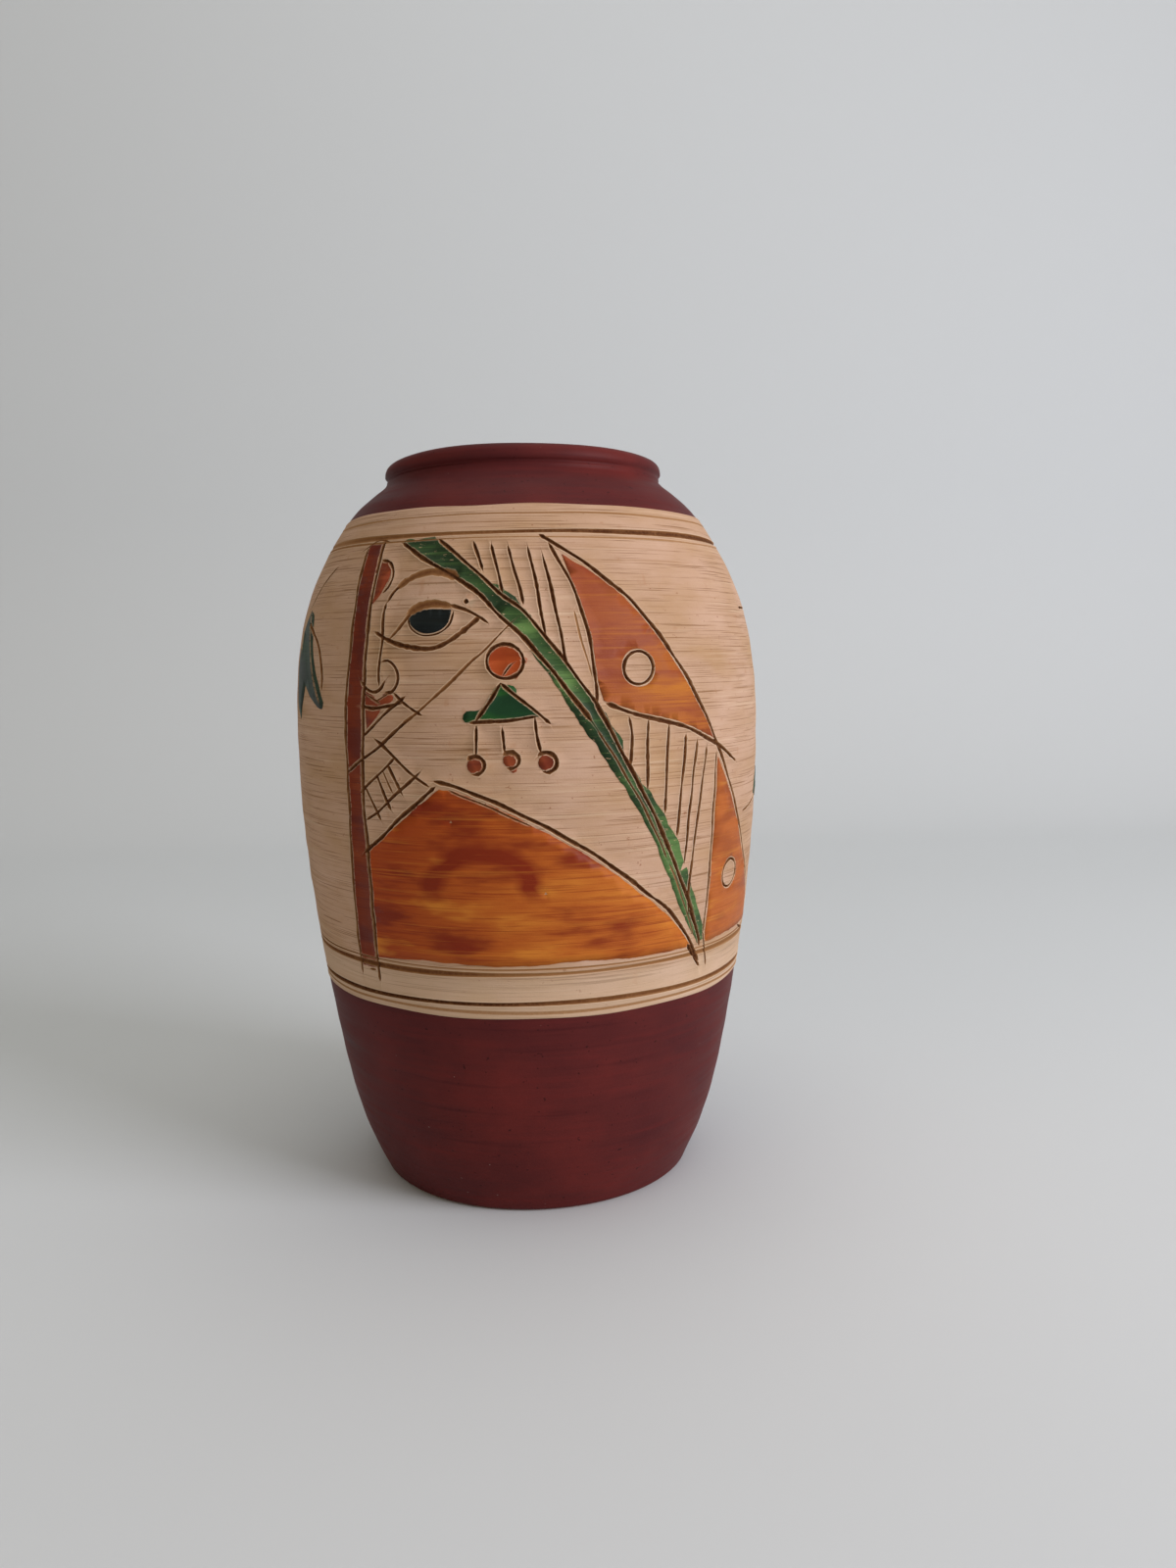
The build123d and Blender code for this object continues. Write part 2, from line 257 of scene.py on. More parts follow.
def finish_surface(material, shader, tint, roughness, heights):
    """Wires the colour, the roughness and a chain of bumps, each (value, depth in mm)."""
    links = material.node_tree.links
    links.new(tint, shader.inputs["Base Color"])
    links.new(roughness, shader.inputs["Roughness"])
    normal = None
    for value, depth in heights:
        inputs = {"Height": value, "Distance": depth * MM, "Strength": 1.0}
        if normal is not None:
            inputs["Normal"] = normal
        normal = add_node(material, "Bump", inputs).outputs[0]
    links.new(normal, shader.inputs["Normal"])
    return material


def scraped_clay():
    """Dry earthenware laid bare by a pointed tool: dull dark brown, torn and grainy."""
    material, shader = new_material("scraped_earthenware", IOR=1.5, Specular_IOR_Level=0.1)
    grain = noise(material, 0.9, 0.9)
    drag = noise(material, 5.0, 5.0, offset=3.0)
    # A cut turns darker brown towards its middle and with its depth: the bared clay's own brown with
    # painted shade of the cut.
    deep = marked(material, "cut_shade_and_stain")
    tint = ramp(material, deep, (0.25, "#b08a66"), (0.5, "#92673f"), (0.72, "#6c4224"),
                (1.0, "#412110"))
    tint = overlay(material, tint, grain, (0.45, 0.0), (0.7, 0.4), "#946640")
    tint = overlay(material, tint, drag, (0.5, 0.0), (0.75, 0.3), "#a1744b")
    rough = ramp(material, grain, (0.0, 0.75), (1.0, 0.95))
    return finish_surface(material, shader, tint, rough, [(grain, 0.10)])


def cream_slip():
    """Fired cream slip, dry and chalky, wiped round on the wheel so that it shows fine streaks."""
    material, shader = new_material("cream_slip_brushed", IOR=1.5, Specular_IOR_Level=0.2)
    streak = noise(material, 52.0, 0.85, detail=4.0)
    fine = noise(material, 34.0, 0.32, detail=2.0, offset=5.0)
    cloud = noise(material, 26.0, 12.0, offset=9.0)
    grit = noise(material, 0.55, 0.45, detail=3.0)
    speck = noise(material, 1.6, 1.3, detail=2.0, offset=13.0)
    scuff = noise(material, 3.2, 4.2, detail=4.0, offset=17.0)
    tint = ramp(material, cloud, (0.3, "#b8926e"), (0.5, "#c09b7e"), (0.7, "#c8a48b"))
    tint = overlay(material, tint, streak, (0.34, 0.45), (0.42, 0.0), "#9f7750")
    tint = overlay(material, tint, fine, (0.37, 0.75), (0.40, 0.0), "#86603d")
    tint = overlay(material, tint, streak, (0.58, 0.0), (0.72, 0.45), "#dabc9e")
    tint = overlay(material, tint, scuff, (0.64, 0.0), (0.72, 0.35), "#b1805c")
    tint = overlay(material, tint, speck, (0.70, 0.0), (0.75, 0.6), "#8a5230")
    # Painted bounce light from the pale floor: the slip is lightened towards its lower edge.
    floor_bounce_light = between(material, height_on(material), SLIP_LOW + 14, SLIP_LOW + 11)
    tint = blend(material, calculate(material, "MULTIPLY", floor_bounce_light, 0.35), tint, "#dcc3a8")
    # Painted highlight: the burrs raised beside the cuts are lightened as if they caught the light.
    ridge = marked(material, "ridge")
    tint = blend(material, calculate(material, "MULTIPLY", ridge, 0.75), tint, "#ddc4a6")
    rough = ramp(material, cloud, (0.2, 0.68), (0.8, 0.86))
    return finish_surface(material, shader, tint, rough,
                          [(streak, 0.16), (fine, 0.08), (grit, 0.06)])


def oxblood_coat():
    """Oxblood oil-bound coat rubbed to a satin, with faint wheel streaks and tiny pinholes."""
    material, shader = new_material("oxblood_satin_coat", IOR=1.5, Specular_IOR_Level=0.1)
    streak = noise(material, 42.0, 2.2)
    cloud = noise(material, 30.0, 22.0, offset=4.0)
    grit = noise(material, 0.8, 0.6, detail=3.0)
    pin = noise(material, 1.5, 1.2, detail=1.0, offset=8.0)
    tint = ramp(material, cloud, (0.3, "#501e1f"), (0.5, "#592221"), (0.72, "#682623"))
    tint = overlay(material, tint, streak, (0.5, 0.0), (0.75, 0.45), "#6d2624")
    tint = overlay(material, tint, streak, (0.25, 0.5), (0.42, 0.0), "#401317")
    tint = overlay(material, tint, pin, (0.24, 0.7), (0.28, 0.0), "#2b0e10")
    tint = overlay(material, tint, pin, (0.81, 0.0), (0.83, 0.5), "#a58f88")
    rough = ramp(material, streak, (0.25, 0.46), (0.75, 0.60))
    return finish_surface(material, shader, tint, rough,
                          [(streak, 0.10), (grit, 0.035), (cloud, 0.25)])


def bare_terracotta():
    """Unglazed terracotta inside the pot and under its foot: dusty, with throwing streaks."""
    material, shader = new_material("bare_terracotta", IOR=1.5, Specular_IOR_Level=0.15)
    streak = noise(material, 40.0, 1.6)
    cloud = noise(material, 18.0, 14.0, offset=6.0)
    grit = noise(material, 0.7, 0.7, detail=3.0)
    tint = ramp(material, cloud, (0.3, "#95563a"), (0.7, "#b06c49"))
    tint = overlay(material, tint, streak, (0.35, 0.45), (0.5, 0.0), "#7d4630")
    tint = overlay(material, tint, grit, (0.62, 0.0), (0.72, 0.4), "#c98f6a")
    rough = ramp(material, cloud, (0.2, 0.8), (0.8, 0.92))
    return finish_surface(material, shader, tint, rough, [(streak, 0.18), (grit, 0.08)])


def brushed_paint(name, base, dark, light, offset, wear=0.34, gloss=0.5, glow=None, sweep=None):
    """Thin wiped-on colour: blotches, brush streaks round the pot and the slip showing through.

    glow is (place, far, near): the colour turns light towards that place.
    sweep is (place, radius, width) of a dark bow left by a loaded brush.
    """
    material, shader = new_material(name, IOR=1.5, Specular_IOR_Level=0.15)
    cloud = noise(material, 30.0, 9.0, detail=3.0, offset=offset)
    streak = noise(material, 34.0, 1.1, detail=4.0, offset=offset + 2)
    fine = noise(material, 30.0, 0.4, detail=2.0, offset=5.0)
    grit = noise(material, 0.6, 0.5, detail=3.0)
    bare = noise(material, 2.4, 0.8, detail=5.0, offset=offset + 5, rough=0.7)
    tint = ramp(material, cloud, (0.36, dark), (0.5, base), (0.58, base), (0.72, light),
                smooth=True)
    if glow:
        place, far, near = glow
        rise = between(material, reach_on(material, place), far, near)
        lit = calculate(material, "MULTIPLY", rise, ramp(material, cloud, (0.3, 0.0), (0.7, 0.9)))
        tint = blend(material, lit, tint, light)
    if sweep:
        place, radius, width = sweep
        reach = calculate(material, "MULTIPLY_ADD", cloud, 9 * MM, reach_on(material, place))
        off = calculate(material, "ABSOLUTE",
                        calculate(material, "SUBTRACT", reach, (radius + 4.5) * MM))
        upper = between(material, height_on(material), place[1], place[1] + 5)
        bow = calculate(material, "MULTIPLY", between(material, off, width, width * 0.35), upper)
        tint = blend(material, bow, tint, dark)
    tint = overlay(material, tint, streak, (0.3, 0.45), (0.44, 0.0), dark)
    tint = overlay(material, tint, fine, (0.38, 0.55), (0.43, 0.0), dark)
    tint = overlay(material, tint, streak, (0.55, 0.0), (0.7, 0.4), light)
    # Paint darkens towards a cut's edge: brown from the cut with painted shade beside it.
    cut_shade_and_smear = marked(material, "cut_shade_and_stain")
    tint = blend(material, calculate(material, "MULTIPLY", cut_shade_and_smear, 0.5), tint, "#3c1e10")
    ridge = marked(material, "ridge")
    torn = calculate(material, "MULTIPLY", ridge, ramp(material, bare, (0.38, 0.0), (0.5, 0.9)))
    tint = blend(material, torn, tint, "#d2b496")
    tint = overlay(material, tint, bare, (wear - 0.05, 0.85), (wear, 0.0), "#c8a683")
    rough = ramp(material, cloud, (0.3, gloss - 0.06), (0.7, gloss + 0.1))
    return finish_surface(material, shader, tint, rough,
                          [(streak, 0.10), (fine, 0.06), (bare, 0.06), (grit, 0.04)])


SCRAPED = scraped_clay()
CREAM = cream_slip()
OXBLOOD = oxblood_coat()
TERRACOTTA = bare_terracotta()
BROWN_PAINT = brushed_paint("brown_wash", "#7a3016", "#672617", "#8e411e", 31.0, wear=0.29)
RUST_PAINT = brushed_paint("rust_wash", "#934526", "#7a3320", "#a35434", 37.0, wear=0.30)
ORANGE_PAINT = brushed_paint("burnt_orange_wash", "#a54515", "#822a0d", "#cc7c2c", 43.0,
                             wear=0.27, glow=((34, 92), 85, 35),
                             sweep=((-11, 102.5), 16.0, 4.6))
DISC_PAINT = brushed_paint("orange_daub", "#a8491f", "#963c18", "#b85d2c", 45.0, wear=0.27)
FIN_PAINT = brushed_paint("rust_orange_wash", "#9c4e2a", "#8e4026", "#bc7026", 47.0, wear=0.27,
                          glow=((41, 158), 50, 10))
SIDE_PAINT = brushed_paint("amber_wash", "#b4622a", "#9b4e20", "#cf8c38", 49.0, wear=0.28)
GREEN_PAINT = brushed_paint("leaf_green_wash", "#3b562e", "#273b23", "#66874a", 51.0, wear=0.37,
                            glow=((37, 106), 50, 10))
EMERALD_PAINT = brushed_paint("emerald_wash", "#245522", "#1b3e24", "#30702c", 57.0, wear=0.27)
DULL_GREEN_PAINT = brushed_paint("dull_green_wash", "#374a3a", "#28332c", "#4b5f44", 61.0,
                                 wear=0.30)
DARK_PAINT = brushed_paint("slate_black_wash", "#151b1b", "#101413", "#20292a", 67.0,
                           wear=0.2, gloss=0.42)

# ---- the scratched drawing ---------------------------------------------------------------------
# Each line is (width, depth, [places]). A pointed tool ploughed it through the slip.
WIPED, BROAD, FIRM, LIGHT, FINE = 2.3, 1.45, 1.2, 0.95, 0.55     # widths of cut
DEEP, MIDDLE, SHALLOW, FAINT = 0.8, 0.55, 0.34, 0.16    # depths of cut

post_lines = [
    (FIRM, DEEP, [(-45.3, 206.4), (-43.4, 187), (-43.1, 175.4), (-44, 159), (-44, 140),
                  (-44.1, 130), (-45.4, 103.2), (-46.3, 85.2), (-46.5, 77.6)]),
    (FIRM, DEEP, [(-39.5, 208.1), (-38.5, 195.8), (-37.9, 175), (-38.5, 150.2), (-39.2, 132),
                  (-38.9, 116.6), (-39.9, 85.2), (-40.3, 76.3)]),
    (LIGHT, MIDDLE, [(-38.2, 202.6), (-35.3, 201.7), (-33.3, 198.2), (-33.7, 194.7),
                     (-35.2, 192.6)]),
    (FINE, SHALLOW, [(-47.4, 205.8), (-42, 208.6), (-38, 208.2)]),
    (FINE, SHALLOW, [(-45.8, 203.5), (-44.6, 207.6)]),
    (LIGHT, SHALLOW, [(-43.5, 79.6), (-41.2, 79.9)]),
]
brow_and_nose_lines = [
    (LIGHT, DEEP, [(-33.5, 189.7), (-33.9, 186), (-33.4, 178.3), (-34, 169.5), (-33.8, 166.0)]),
    (LIGHT, MIDDLE, [(-33.4, 190.0), (-32, 192.7), (-30.4, 194.4)]),
    (WIPED, SHALLOW, [(-31.2, 193.6), (-29.0, 195.8), (-26.4, 197.4), (-22.8, 198.1),
                      (-18, 197.5), (-15.4, 196.2)]),
    (LIGHT, MIDDLE, [(-17.4, 197.2), (-14.3, 194.9), (-10.4, 191.0)]),
    (LIGHT, MIDDLE, [(-33.3, 172.8), (-31.4, 173), (-29.2, 170.6), (-28.7, 167.4),
                     (-30.2, 164.3), (-32.1, 164.2)]),
    (LIGHT, MIDDLE, [(-39.1, 167.5), (-37.4, 165.3), (-35.2, 164.2), (-33.3, 165.1),
                     (-32.1, 167.4)]),
]
mouth_lines = [
    (LIGHT, MIDDLE, [(-38.8, 160.2), (-35.3, 159.5), (-32.1, 159.9), (-27.7, 161.1)]),
    (FINE, SHALLOW, [(-37.5, 163.7), (-33.3, 160.7)]),
    (FINE, SHALLOW, [(-34.6, 161.3), (-31, 163.9)]),
    (LIGHT, MIDDLE, [(-29.9, 163.9), (-27.2, 161.0), (-22.9, 157.6)]),
    (LIGHT, MIDDLE, [(-38.4, 151.4), (-34.4, 155.5), (-27.0, 163.0)]),
]
eye_lines = [
    (BROAD, MIDDLE, [(-35.8, 181.4), (-32.1, 179.2), (-27.5, 177.2), (-23.2, 176.3),
                     (-19.6, 176.8), (-15, 179.8), (-10.2, 185.0)]),
    (LIGHT, SHALLOW, [(-31.6, 179.4), (-29.2, 182.2), (-26.3, 186.6)]),
    (WIPED, SHALLOW, [(-27.4, 186.4), (-24.6, 188.3), (-20.8, 188.9), (-16.5, 188.2)]),
    (LIGHT, MIDDLE, [(-17.0, 188.6), (-13.4, 187.0), (-9.6, 184.4), (-8.2, 183.2)]),
    (FINE, MIDDLE, [(-27.0, 185.2), (-26.4, 182.7), (-23.9, 180.5), (-21.3, 180.1),
                    (-18.7, 180.9), (-16.8, 183.2), (-16.2, 186.8)]),
    (FINE, SHALLOW, [(-26.9, 185.3), (-27.0, 187.4)]),
]
jaw_lines = [
    (FINE, SHALLOW, [(-3.0, 183.5), (-8, 177.1), (-12, 172.2)]),
    (LIGHT, SHALLOW, [(-10.4, 174.2), (-14.3, 169.5), (-20.6, 161.9), (-27.7, 154.9)]),
    (LIGHT, DEEP, [(-26.7, 156.0), (-33.2, 149), (-38.3, 145), (-43.4, 140.7)]),
    (LIGHT, MIDDLE, [(-35.2, 150.8), (-33.2, 149), (-29.6, 145), (-25, 140), (-21.8, 137.2)]),
]
collar_lines = [
    (LIGHT, MIDDLE, [(-39.8, 134.7), (-34.7, 140), (-29.8, 145.2)]),
    (LIGHT, MIDDLE, [(-38.7, 126.5), (-34.7, 129.7), (-29.6, 135), (-23.6, 141.5)]),
    (LIGHT, MIDDLE, [(-38.3, 136.6), (-34.4, 126.7)]),
    (LIGHT, MIDDLE, [(-35.0, 140.3), (-31.4, 130.0)]),
    (FINE, SHALLOW, [(-33.3, 141.6), (-30.6, 135.0)]),
    (LIGHT, MIDDLE, [(-31.7, 143.4), (-28.2, 134.4)]),
]
robe_lines = [
    (FIRM, DEEP, [(-40, 116.6), (-34.7, 121.6), (-29.6, 127.3), (-24.5, 132.7), (-20.2, 137.2)]),
    (FIRM, DEEP, [(-20.6, 138.9), (-14.3, 136.7), (-4.9, 131.3), (5.3, 124), (15.5, 115.3),
                  (25.7, 104.9), (33.4, 97.0), (40, 87.2), (44.6, 79.0)]),
    (FINE, SHALLOW, [(-17.3, 136.4), (-8, 131.2), (0, 126.0)]),
]
earring_lines = [
    (FINE, MIDDLE, [(-5.2, 168.6), (-4.0, 170.8), (-3.2, 171.8)]),
    (LIGHT, DEEP, [(-5.6, 166.5), (-8.0, 161.6), (-10.9, 155.9)]),
    (LIGHT, DEEP, [(-12.3, 155.4), (-5, 155.9), (1.7, 156.9)]),
    (LIGHT, DEEP, [(-5.6, 166.4), (-1.6, 161.9), (4.6, 154.9)]),
    (LIGHT, DEEP, [(-10.8, 154.6), (-11.2, 146.2)]),
    (LIGHT, DEEP, [(-5.6, 153.9), (-5.0, 147.2)]),
    (LIGHT, DEEP, [(1.3, 156.7), (1.8, 150.7), (2.3, 147.0)]),
]
band_lines = [
    (FIRM, DEEP, [(-33, 207.3), (-27.7, 203.7), (-21.4, 199.6), (-12, 192.9), (-6.1, 185.6),
                  (0.6, 177.1), (8.6, 163.6), (13.2, 155.2)]),
    (LIGHT, DEEP, [(-22.3, 207.8), (-12.9, 199.4), (-6.1, 191.8), (-0.7, 186.5), (8.2, 171.9),
                   (15.2, 158.5)]),
    (FIRM, DEEP, [(14.2, 160.6), (20.4, 145.0), (28.8, 124.8), (34.8, 109.3), (38.2, 101.2),
                  (42.4, 90.4), (44.2, 84.0)]),
    (FIRM, DEEP, [(39.6, 85.4), (45.2, 77.2)]),
    (LIGHT, DEEP, [(45.2, 88.4), (48.0, 76.8)]),
    (LIGHT, MIDDLE, [(39.4, 96.6), (42.4, 89.6), (44.4, 84.6)]),
    (FINE, SHALLOW, [(14.6, 152.6), (18.6, 144.0), (26.2, 127.2), (31.4, 114.0)]),
    (FINE, FAINT, [(32.4, 112.0), (37.0, 100.0), (41.6, 88.0)]),
]
hair_lines = [
    (LIGHT, DEEP, [(-13, 206.7), (-11.2, 202.3), (-10.0, 198.2)]),
    (LIGHT, DEEP, [(-8.3, 205.7), (-7.2, 201.1), (-5.2, 191.8)]),
    (LIGHT, DEEP, [(-4.3, 205.1), (-2.9, 199.4), (-1.6, 194.1), (-0.7, 188.4)]),
    (LIGHT, DEEP, [(0.6, 204.8), (1.7, 198.8), (3.0, 188), (3.9, 179.8)]),
    (LIGHT, DEEP, [(4.2, 202.5), (6.4, 187.1), (8.2, 171.4)]),
    (FINE, FAINT, [(10.4, 186.5), (11.8, 177.7), (13.6, 167.8)]),
]
upper_fin_lines = [
    (LIGHT, MIDDLE, [(5.8, 205.8), (10, 195.3), (13.1, 181.2), (14.4, 166), (14.5, 160.4)]),
    (FIRM, DEEP, [(3.6, 208.3), (11.8, 202.3), (20.7, 193.5), (25.2, 188.2), (33.3, 174.7),
                  (39, 164.1), (47.5, 146.3), (55.8, 128.3), (64.6, 109.6), (72.3, 97.4),
                  (78.6, 87.0)]),
    (FIRM, DEEP, [(16.6, 160.1), (25.2, 156.1), (35, 153.1), (47, 146.7), (56.2, 140.4)]),
]
lower_hair_lines = [
    (LIGHT, MIDDLE, [(21.7, 156.2), (22.3, 150.7), (22, 142.5)]),
    (LIGHT, MIDDLE, [(26.3, 155.2), (26.1, 146.7), (26, 135.1)]),
    (LIGHT, MIDDLE, [(31.7, 153.5), (30.9, 136.7), (30.8, 127.6)]),
    (LIGHT, MIDDLE, [(36.7, 150.2), (34.9, 130), (34.3, 120.2)]),
    (LIGHT, DEEP, [(40.1, 148.2), (38.2, 131.3), (36.8, 111.6)]),
    (LIGHT, DEEP, [(43.3, 146.2), (40.3, 122.6), (38.7, 103.3), (39, 95.4)]),
]
side_fin_lines = [
    (LIGHT, MIDDLE, [(47, 144.2), (46.1, 124), (45.8, 102.4), (45.3, 88.4)]),
    (LIGHT, MIDDLE, [(66.5, 84.6), (71, 83.0), (76, 82.0)]),
]
left_leaf_lines = [
    (LIGHT, MIDDLE, [(-57.7, 201.9), (-60.8, 198.8), (-67.5, 191.2), (-69.9, 188.5)]),
    (FINE, MIDDLE, [(-69.7, 188.8), (-70.9, 182), (-70.6, 176.4)]),
    (FINE, MIDDLE, [(-66.2, 188.6), (-62.4, 177.4), (-58.6, 167.4), (-55.2, 160.6)]),
    (BROAD, DEEP, [(-65.6, 185.0), (-60.3, 181.2), (-57.2, 177.7), (-55, 173), (-54.0, 169),
                   (-54.1, 164.4)]),
]
side_lines = [
    (LIGHT, DEEP, [(68.6, 188.3), (76, 188.6), (86, 187.4), (97, 183.4), (106, 177.2)]),
    (LIGHT, MIDDLE, [(61.8, 123.8), (67.8, 124.9), (73.6, 126.8), (84, 130.4), (94, 127.4)]),
    (FIRM, DEEP, [(80.5, 149.6), (79.6, 157.6), (81.6, 166), (87.6, 172.4), (92.6, 165.0),
                  (92.0, 156.0), (86.4, 150.0), (80.5, 149.6)]),
    (LIGHT, MIDDLE, [(86.6, 171.4), (86.2, 160), (84.2, 148), (80.4, 138.2)]),
    (FIRM, DEEP, [(-78.2, 112.6), (-77.0, 120), (-78.4, 128), (-83.2, 134.2), (-88.8, 127.6),
                  (-89.4, 119.2), (-84.8, 112.4), (-78.2, 112.6)]),
    (LIGHT, MIDDLE, [(-83.6, 133.0), (-83.4, 122), (-81.4, 110), (-78.0, 100.4)]),
]


def leaf_places(base, lean, length, width):
    """Outline of a pointed leaf: from its base up one side to the tip and down the other."""
    along = Vector((math.sin(math.radians(lean)), math.cos(math.radians(lean))))
    across = Vector((along.y, -along.x))
    sides = [(0.0, 0.0), (0.16, 0.34), (0.42, 0.5), (0.72, 0.34), (1.0, 0.0),
             (0.72, -0.34), (0.42, -0.5), (0.16, -0.34)]
    return [place_beside(base, along * share * length + across * out * width)
            for share, out in sides]


def place_beside(place, shift):
    """The place that lies a shift in millimetres from another."""
    degrees = math.degrees(shift.x / float(clay_radius(place[1])))
    return (place[0] + degrees, place[1] + shift.y)


LEAF_LENGTH, LEAF_WIDTH = 26.0, 8.0
back_leaves = [((177.5, 104), -58), ((182.5, 104), 58), ((177.5, 128), -50), ((182.5, 128), 50),
               ((177.5, 152), -42), ((182.5, 152), 42), ((180.0, 168), 0)]
back_lines = [
    (FIRM, DEEP, [(180.2, 97.4), (179.4, 106), (180.5, 128), (179.6, 150), (180.0, 168.6)]),
    (FIRM, MIDDLE, [(204.5, 87.0), (213, 112), (215.5, 142), (212, 166), (208.4, 180.6)]),
    (FIRM, MIDDLE, [(155.5, 87.0), (147, 112), (144.5, 142), (148, 166), (151.6, 180.6)]),
]
for base, lean in back_leaves:
    tip = leaf_places(base, lean, LEAF_LENGTH - 2, LEAF_WIDTH)[4]
    middle = ((base[0] + tip[0]) / 2, (base[1] + tip[1]) / 2 + 0.8)
    back_lines.append((FINE, MIDDLE, [base, middle, tip]))

# Ring cuts: (centre, radius, width, depth), and round the pot: (height, width, depth, seed).
ring_cuts = [((24.5, 170.1), 4.7, LIGHT, DEEP), ((55.4, 105.0), 4.5, LIGHT, DEEP),
             ((-4.7, 172.5), 4.95, LIGHT, DEEP), ((152.0, 186.0), 5.0, LIGHT, DEEP),
             ((208.0, 186.0), 5.0, LIGHT, DEEP), ((180.0, 92.0), 5.0, LIGHT, DEEP),
             ((-13.4, 189.4), 0.32, LIGHT, DEEP)]
open_ring_cuts = [((-11.4, 143.4), 2.65, FIRM, MIDDLE), ((-4.0, 144.8), 2.4, FIRM, MIDDLE),
                  ((3.5, 144.1), 2.85, FIRM, DEEP)]
OPEN_START, OPEN_SWEEP = -110, 250                     # degrees of an open ring
turned_grooves = [(SLIP_HIGH - 8.4, BROAD, MIDDLE, 41), (SLIP_LOW + 15.4, FINE, SHALLOW, 42),
                  (SLIP_LOW + 13.8, BROAD, SHALLOW, 43), (SLIP_LOW + 4.2, BROAD, MIDDLE, 44),
                  (SLIP_LOW + 1.9, LIGHT, FAINT, 45), (SLIP_HIGH - 2.9, FINE, FAINT, 46),
                  (SLIP_HIGH - 10.0, FINE, FAINT, 47)]

drawing = (post_lines + brow_and_nose_lines + mouth_lines + eye_lines + jaw_lines + collar_lines
           + robe_lines + earring_lines + band_lines + hair_lines + upper_fin_lines
           + lower_hair_lines + side_fin_lines + left_leaf_lines + side_lines)

# ---- flat working of the drawn band ------------------------------------------------------------
DEGREE = math.radians(1) * UNROLLED_RADIUS             # one degree on the unrolled band
BAND_START, BAND_END = (SEAM - 360) * DEGREE, SEAM * DEGREE
GROOVE_POINTS = 381
GROOVE_STEP = (BAND_END - BAND_START) / (GROOVE_POINTS - 1)


def unrolled(place):
    """A place of the drawing on the flat band, in millimetres."""
    azimuth = (place[0] - SEAM) % 360 + SEAM - 360
    return np.array((azimuth * DEGREE, place[1]))


def smooth_line(points, closed=False):
    """Evenly spaced points on a smooth curve through a few."""
    points = np.asarray(points, float)
    if closed:
        points = np.vstack((points[-1:], points, points[:2]))
    else:
        points = np.vstack((2 * points[0] - points[1], points, 2 * points[-1] - points[-2]))
    t = np.linspace(0, 1, 12, endpoint=False)[:, None]
    runs = []
    for p0, p1, p2, p3 in zip(points, points[1:], points[2:], points[3:]):
        bend1 = (p2 - p0) * np.linalg.norm(p2 - p1) / max(np.linalg.norm(p2 - p0), 1e-6)
        bend2 = (p3 - p1) * np.linalg.norm(p2 - p1) / max(np.linalg.norm(p3 - p1), 1e-6)
        runs.append((2 * t**3 - 3 * t**2 + 1) * p1 + (t**3 - 2 * t**2 + t) * bend1
                    + (3 * t**2 - 2 * t**3) * p2 + (t**3 - t**2) * bend2)
    curve = np.vstack(runs + [points[-2:-1]])
    along = np.concatenate(([0], np.cumsum(np.linalg.norm(np.diff(curve, axis=0), axis=1))))
    count = max(2, round(along[-1] / STEP))
    even = np.linspace(0, along[-1], count + 1)
    return np.stack([np.interp(even, along, curve[:, axis]) for axis in (0, 1)], axis=1)


def normals_of(line):
    """Unit directions square to a flat line at each of its points."""
    along = np.gradient(line, axis=0)
    along /= np.linalg.norm(along, axis=1)[:, None]
    return np.stack((along[:, 1], -along[:, 0]), axis=1)


class Cut:
    """One scratched line on the flat band, with its half width and depth at each point."""

    def __init__(self, line, width, depth, seed, taper=True):
        self.line = line
        self.square = normals_of(line)
        shake = np.random.default_rng(seed)
        count = len(line)
        along = np.linspace(0, 1, count)
        swell = 1 + 0.16 * np.sin(along * count / 3.1 + seed) + 0.12 * shake.standard_normal(count)
        length = STEP * count
        ends = np.clip(np.minimum(along, 1 - along) * length / (1.1 * width) + 0.12, 0, 1)
        ends = np.sqrt(ends) if taper else np.ones(count)
        self.half = width / 2 * swell * ends
        self.depth = depth * (0.85 + 0.15 * swell) * (ends if taper else 1)


def all_cuts():
    """Every scratched line, ring and turned groove of the band."""
    cuts = []
    for seed, (width, depth, places) in enumerate(drawing + back_lines):
        line = smooth_line([unrolled(place) for place in places])
        shake = np.random.default_rng(500 + seed).uniform(0, 6.3)
        drift = 0.10 * np.sin(np.arange(len(line)) * STEP / 2.4 + shake)[:, None]
        cuts.append(Cut(line + drift * normals_of(line), width, depth, seed))
    rings = [ring + (0, 360) for ring in ring_cuts]
    rings += [ring + (OPEN_START, OPEN_SWEEP) for ring in open_ring_cuts]
    for seed, (centre, radius, width, depth, start, sweep) in enumerate(rings):
        count = max(8, round(math.radians(sweep) * radius / (STEP * 0.8)))
        angles = np.radians(np.linspace(start, start + sweep, count + 1))
        uneven = radius * (1 + 0.03 * np.sin(2 * angles + seed))
        line = unrolled(centre) + np.stack((uneven * np.cos(angles), uneven * np.sin(angles)), 1)
        cuts.append(Cut(line, width, depth, 700 + seed, taper=sweep < 360))
    for height, width, depth, seed in turned_grooves:
        flat = np.arange(BAND_START, BAND_END + STEP, GROOVE_STEP)[:GROOVE_POINTS]
        flat[-1] = BAND_END
        turn = flat / UNROLLED_RADIUS
        rise = height + waver(turn, 0.35, seed, 1) + waver(turn, 0.1, seed + 50, 7)
        cut = Cut(np.stack((flat, rise), 1), width, depth, seed, taper=False)
        swell = 1 + waver(turn, 0.35, seed + 9, 3)
        cut.half = width / 2 * swell
        cut.depth = depth * np.clip(0.8 + waver(turn, 0.5, seed + 5, 1), 0.25, 1.2)
        cut.square = np.array([[0.0, 1.0]])
        cuts.append(cut)
    return cuts


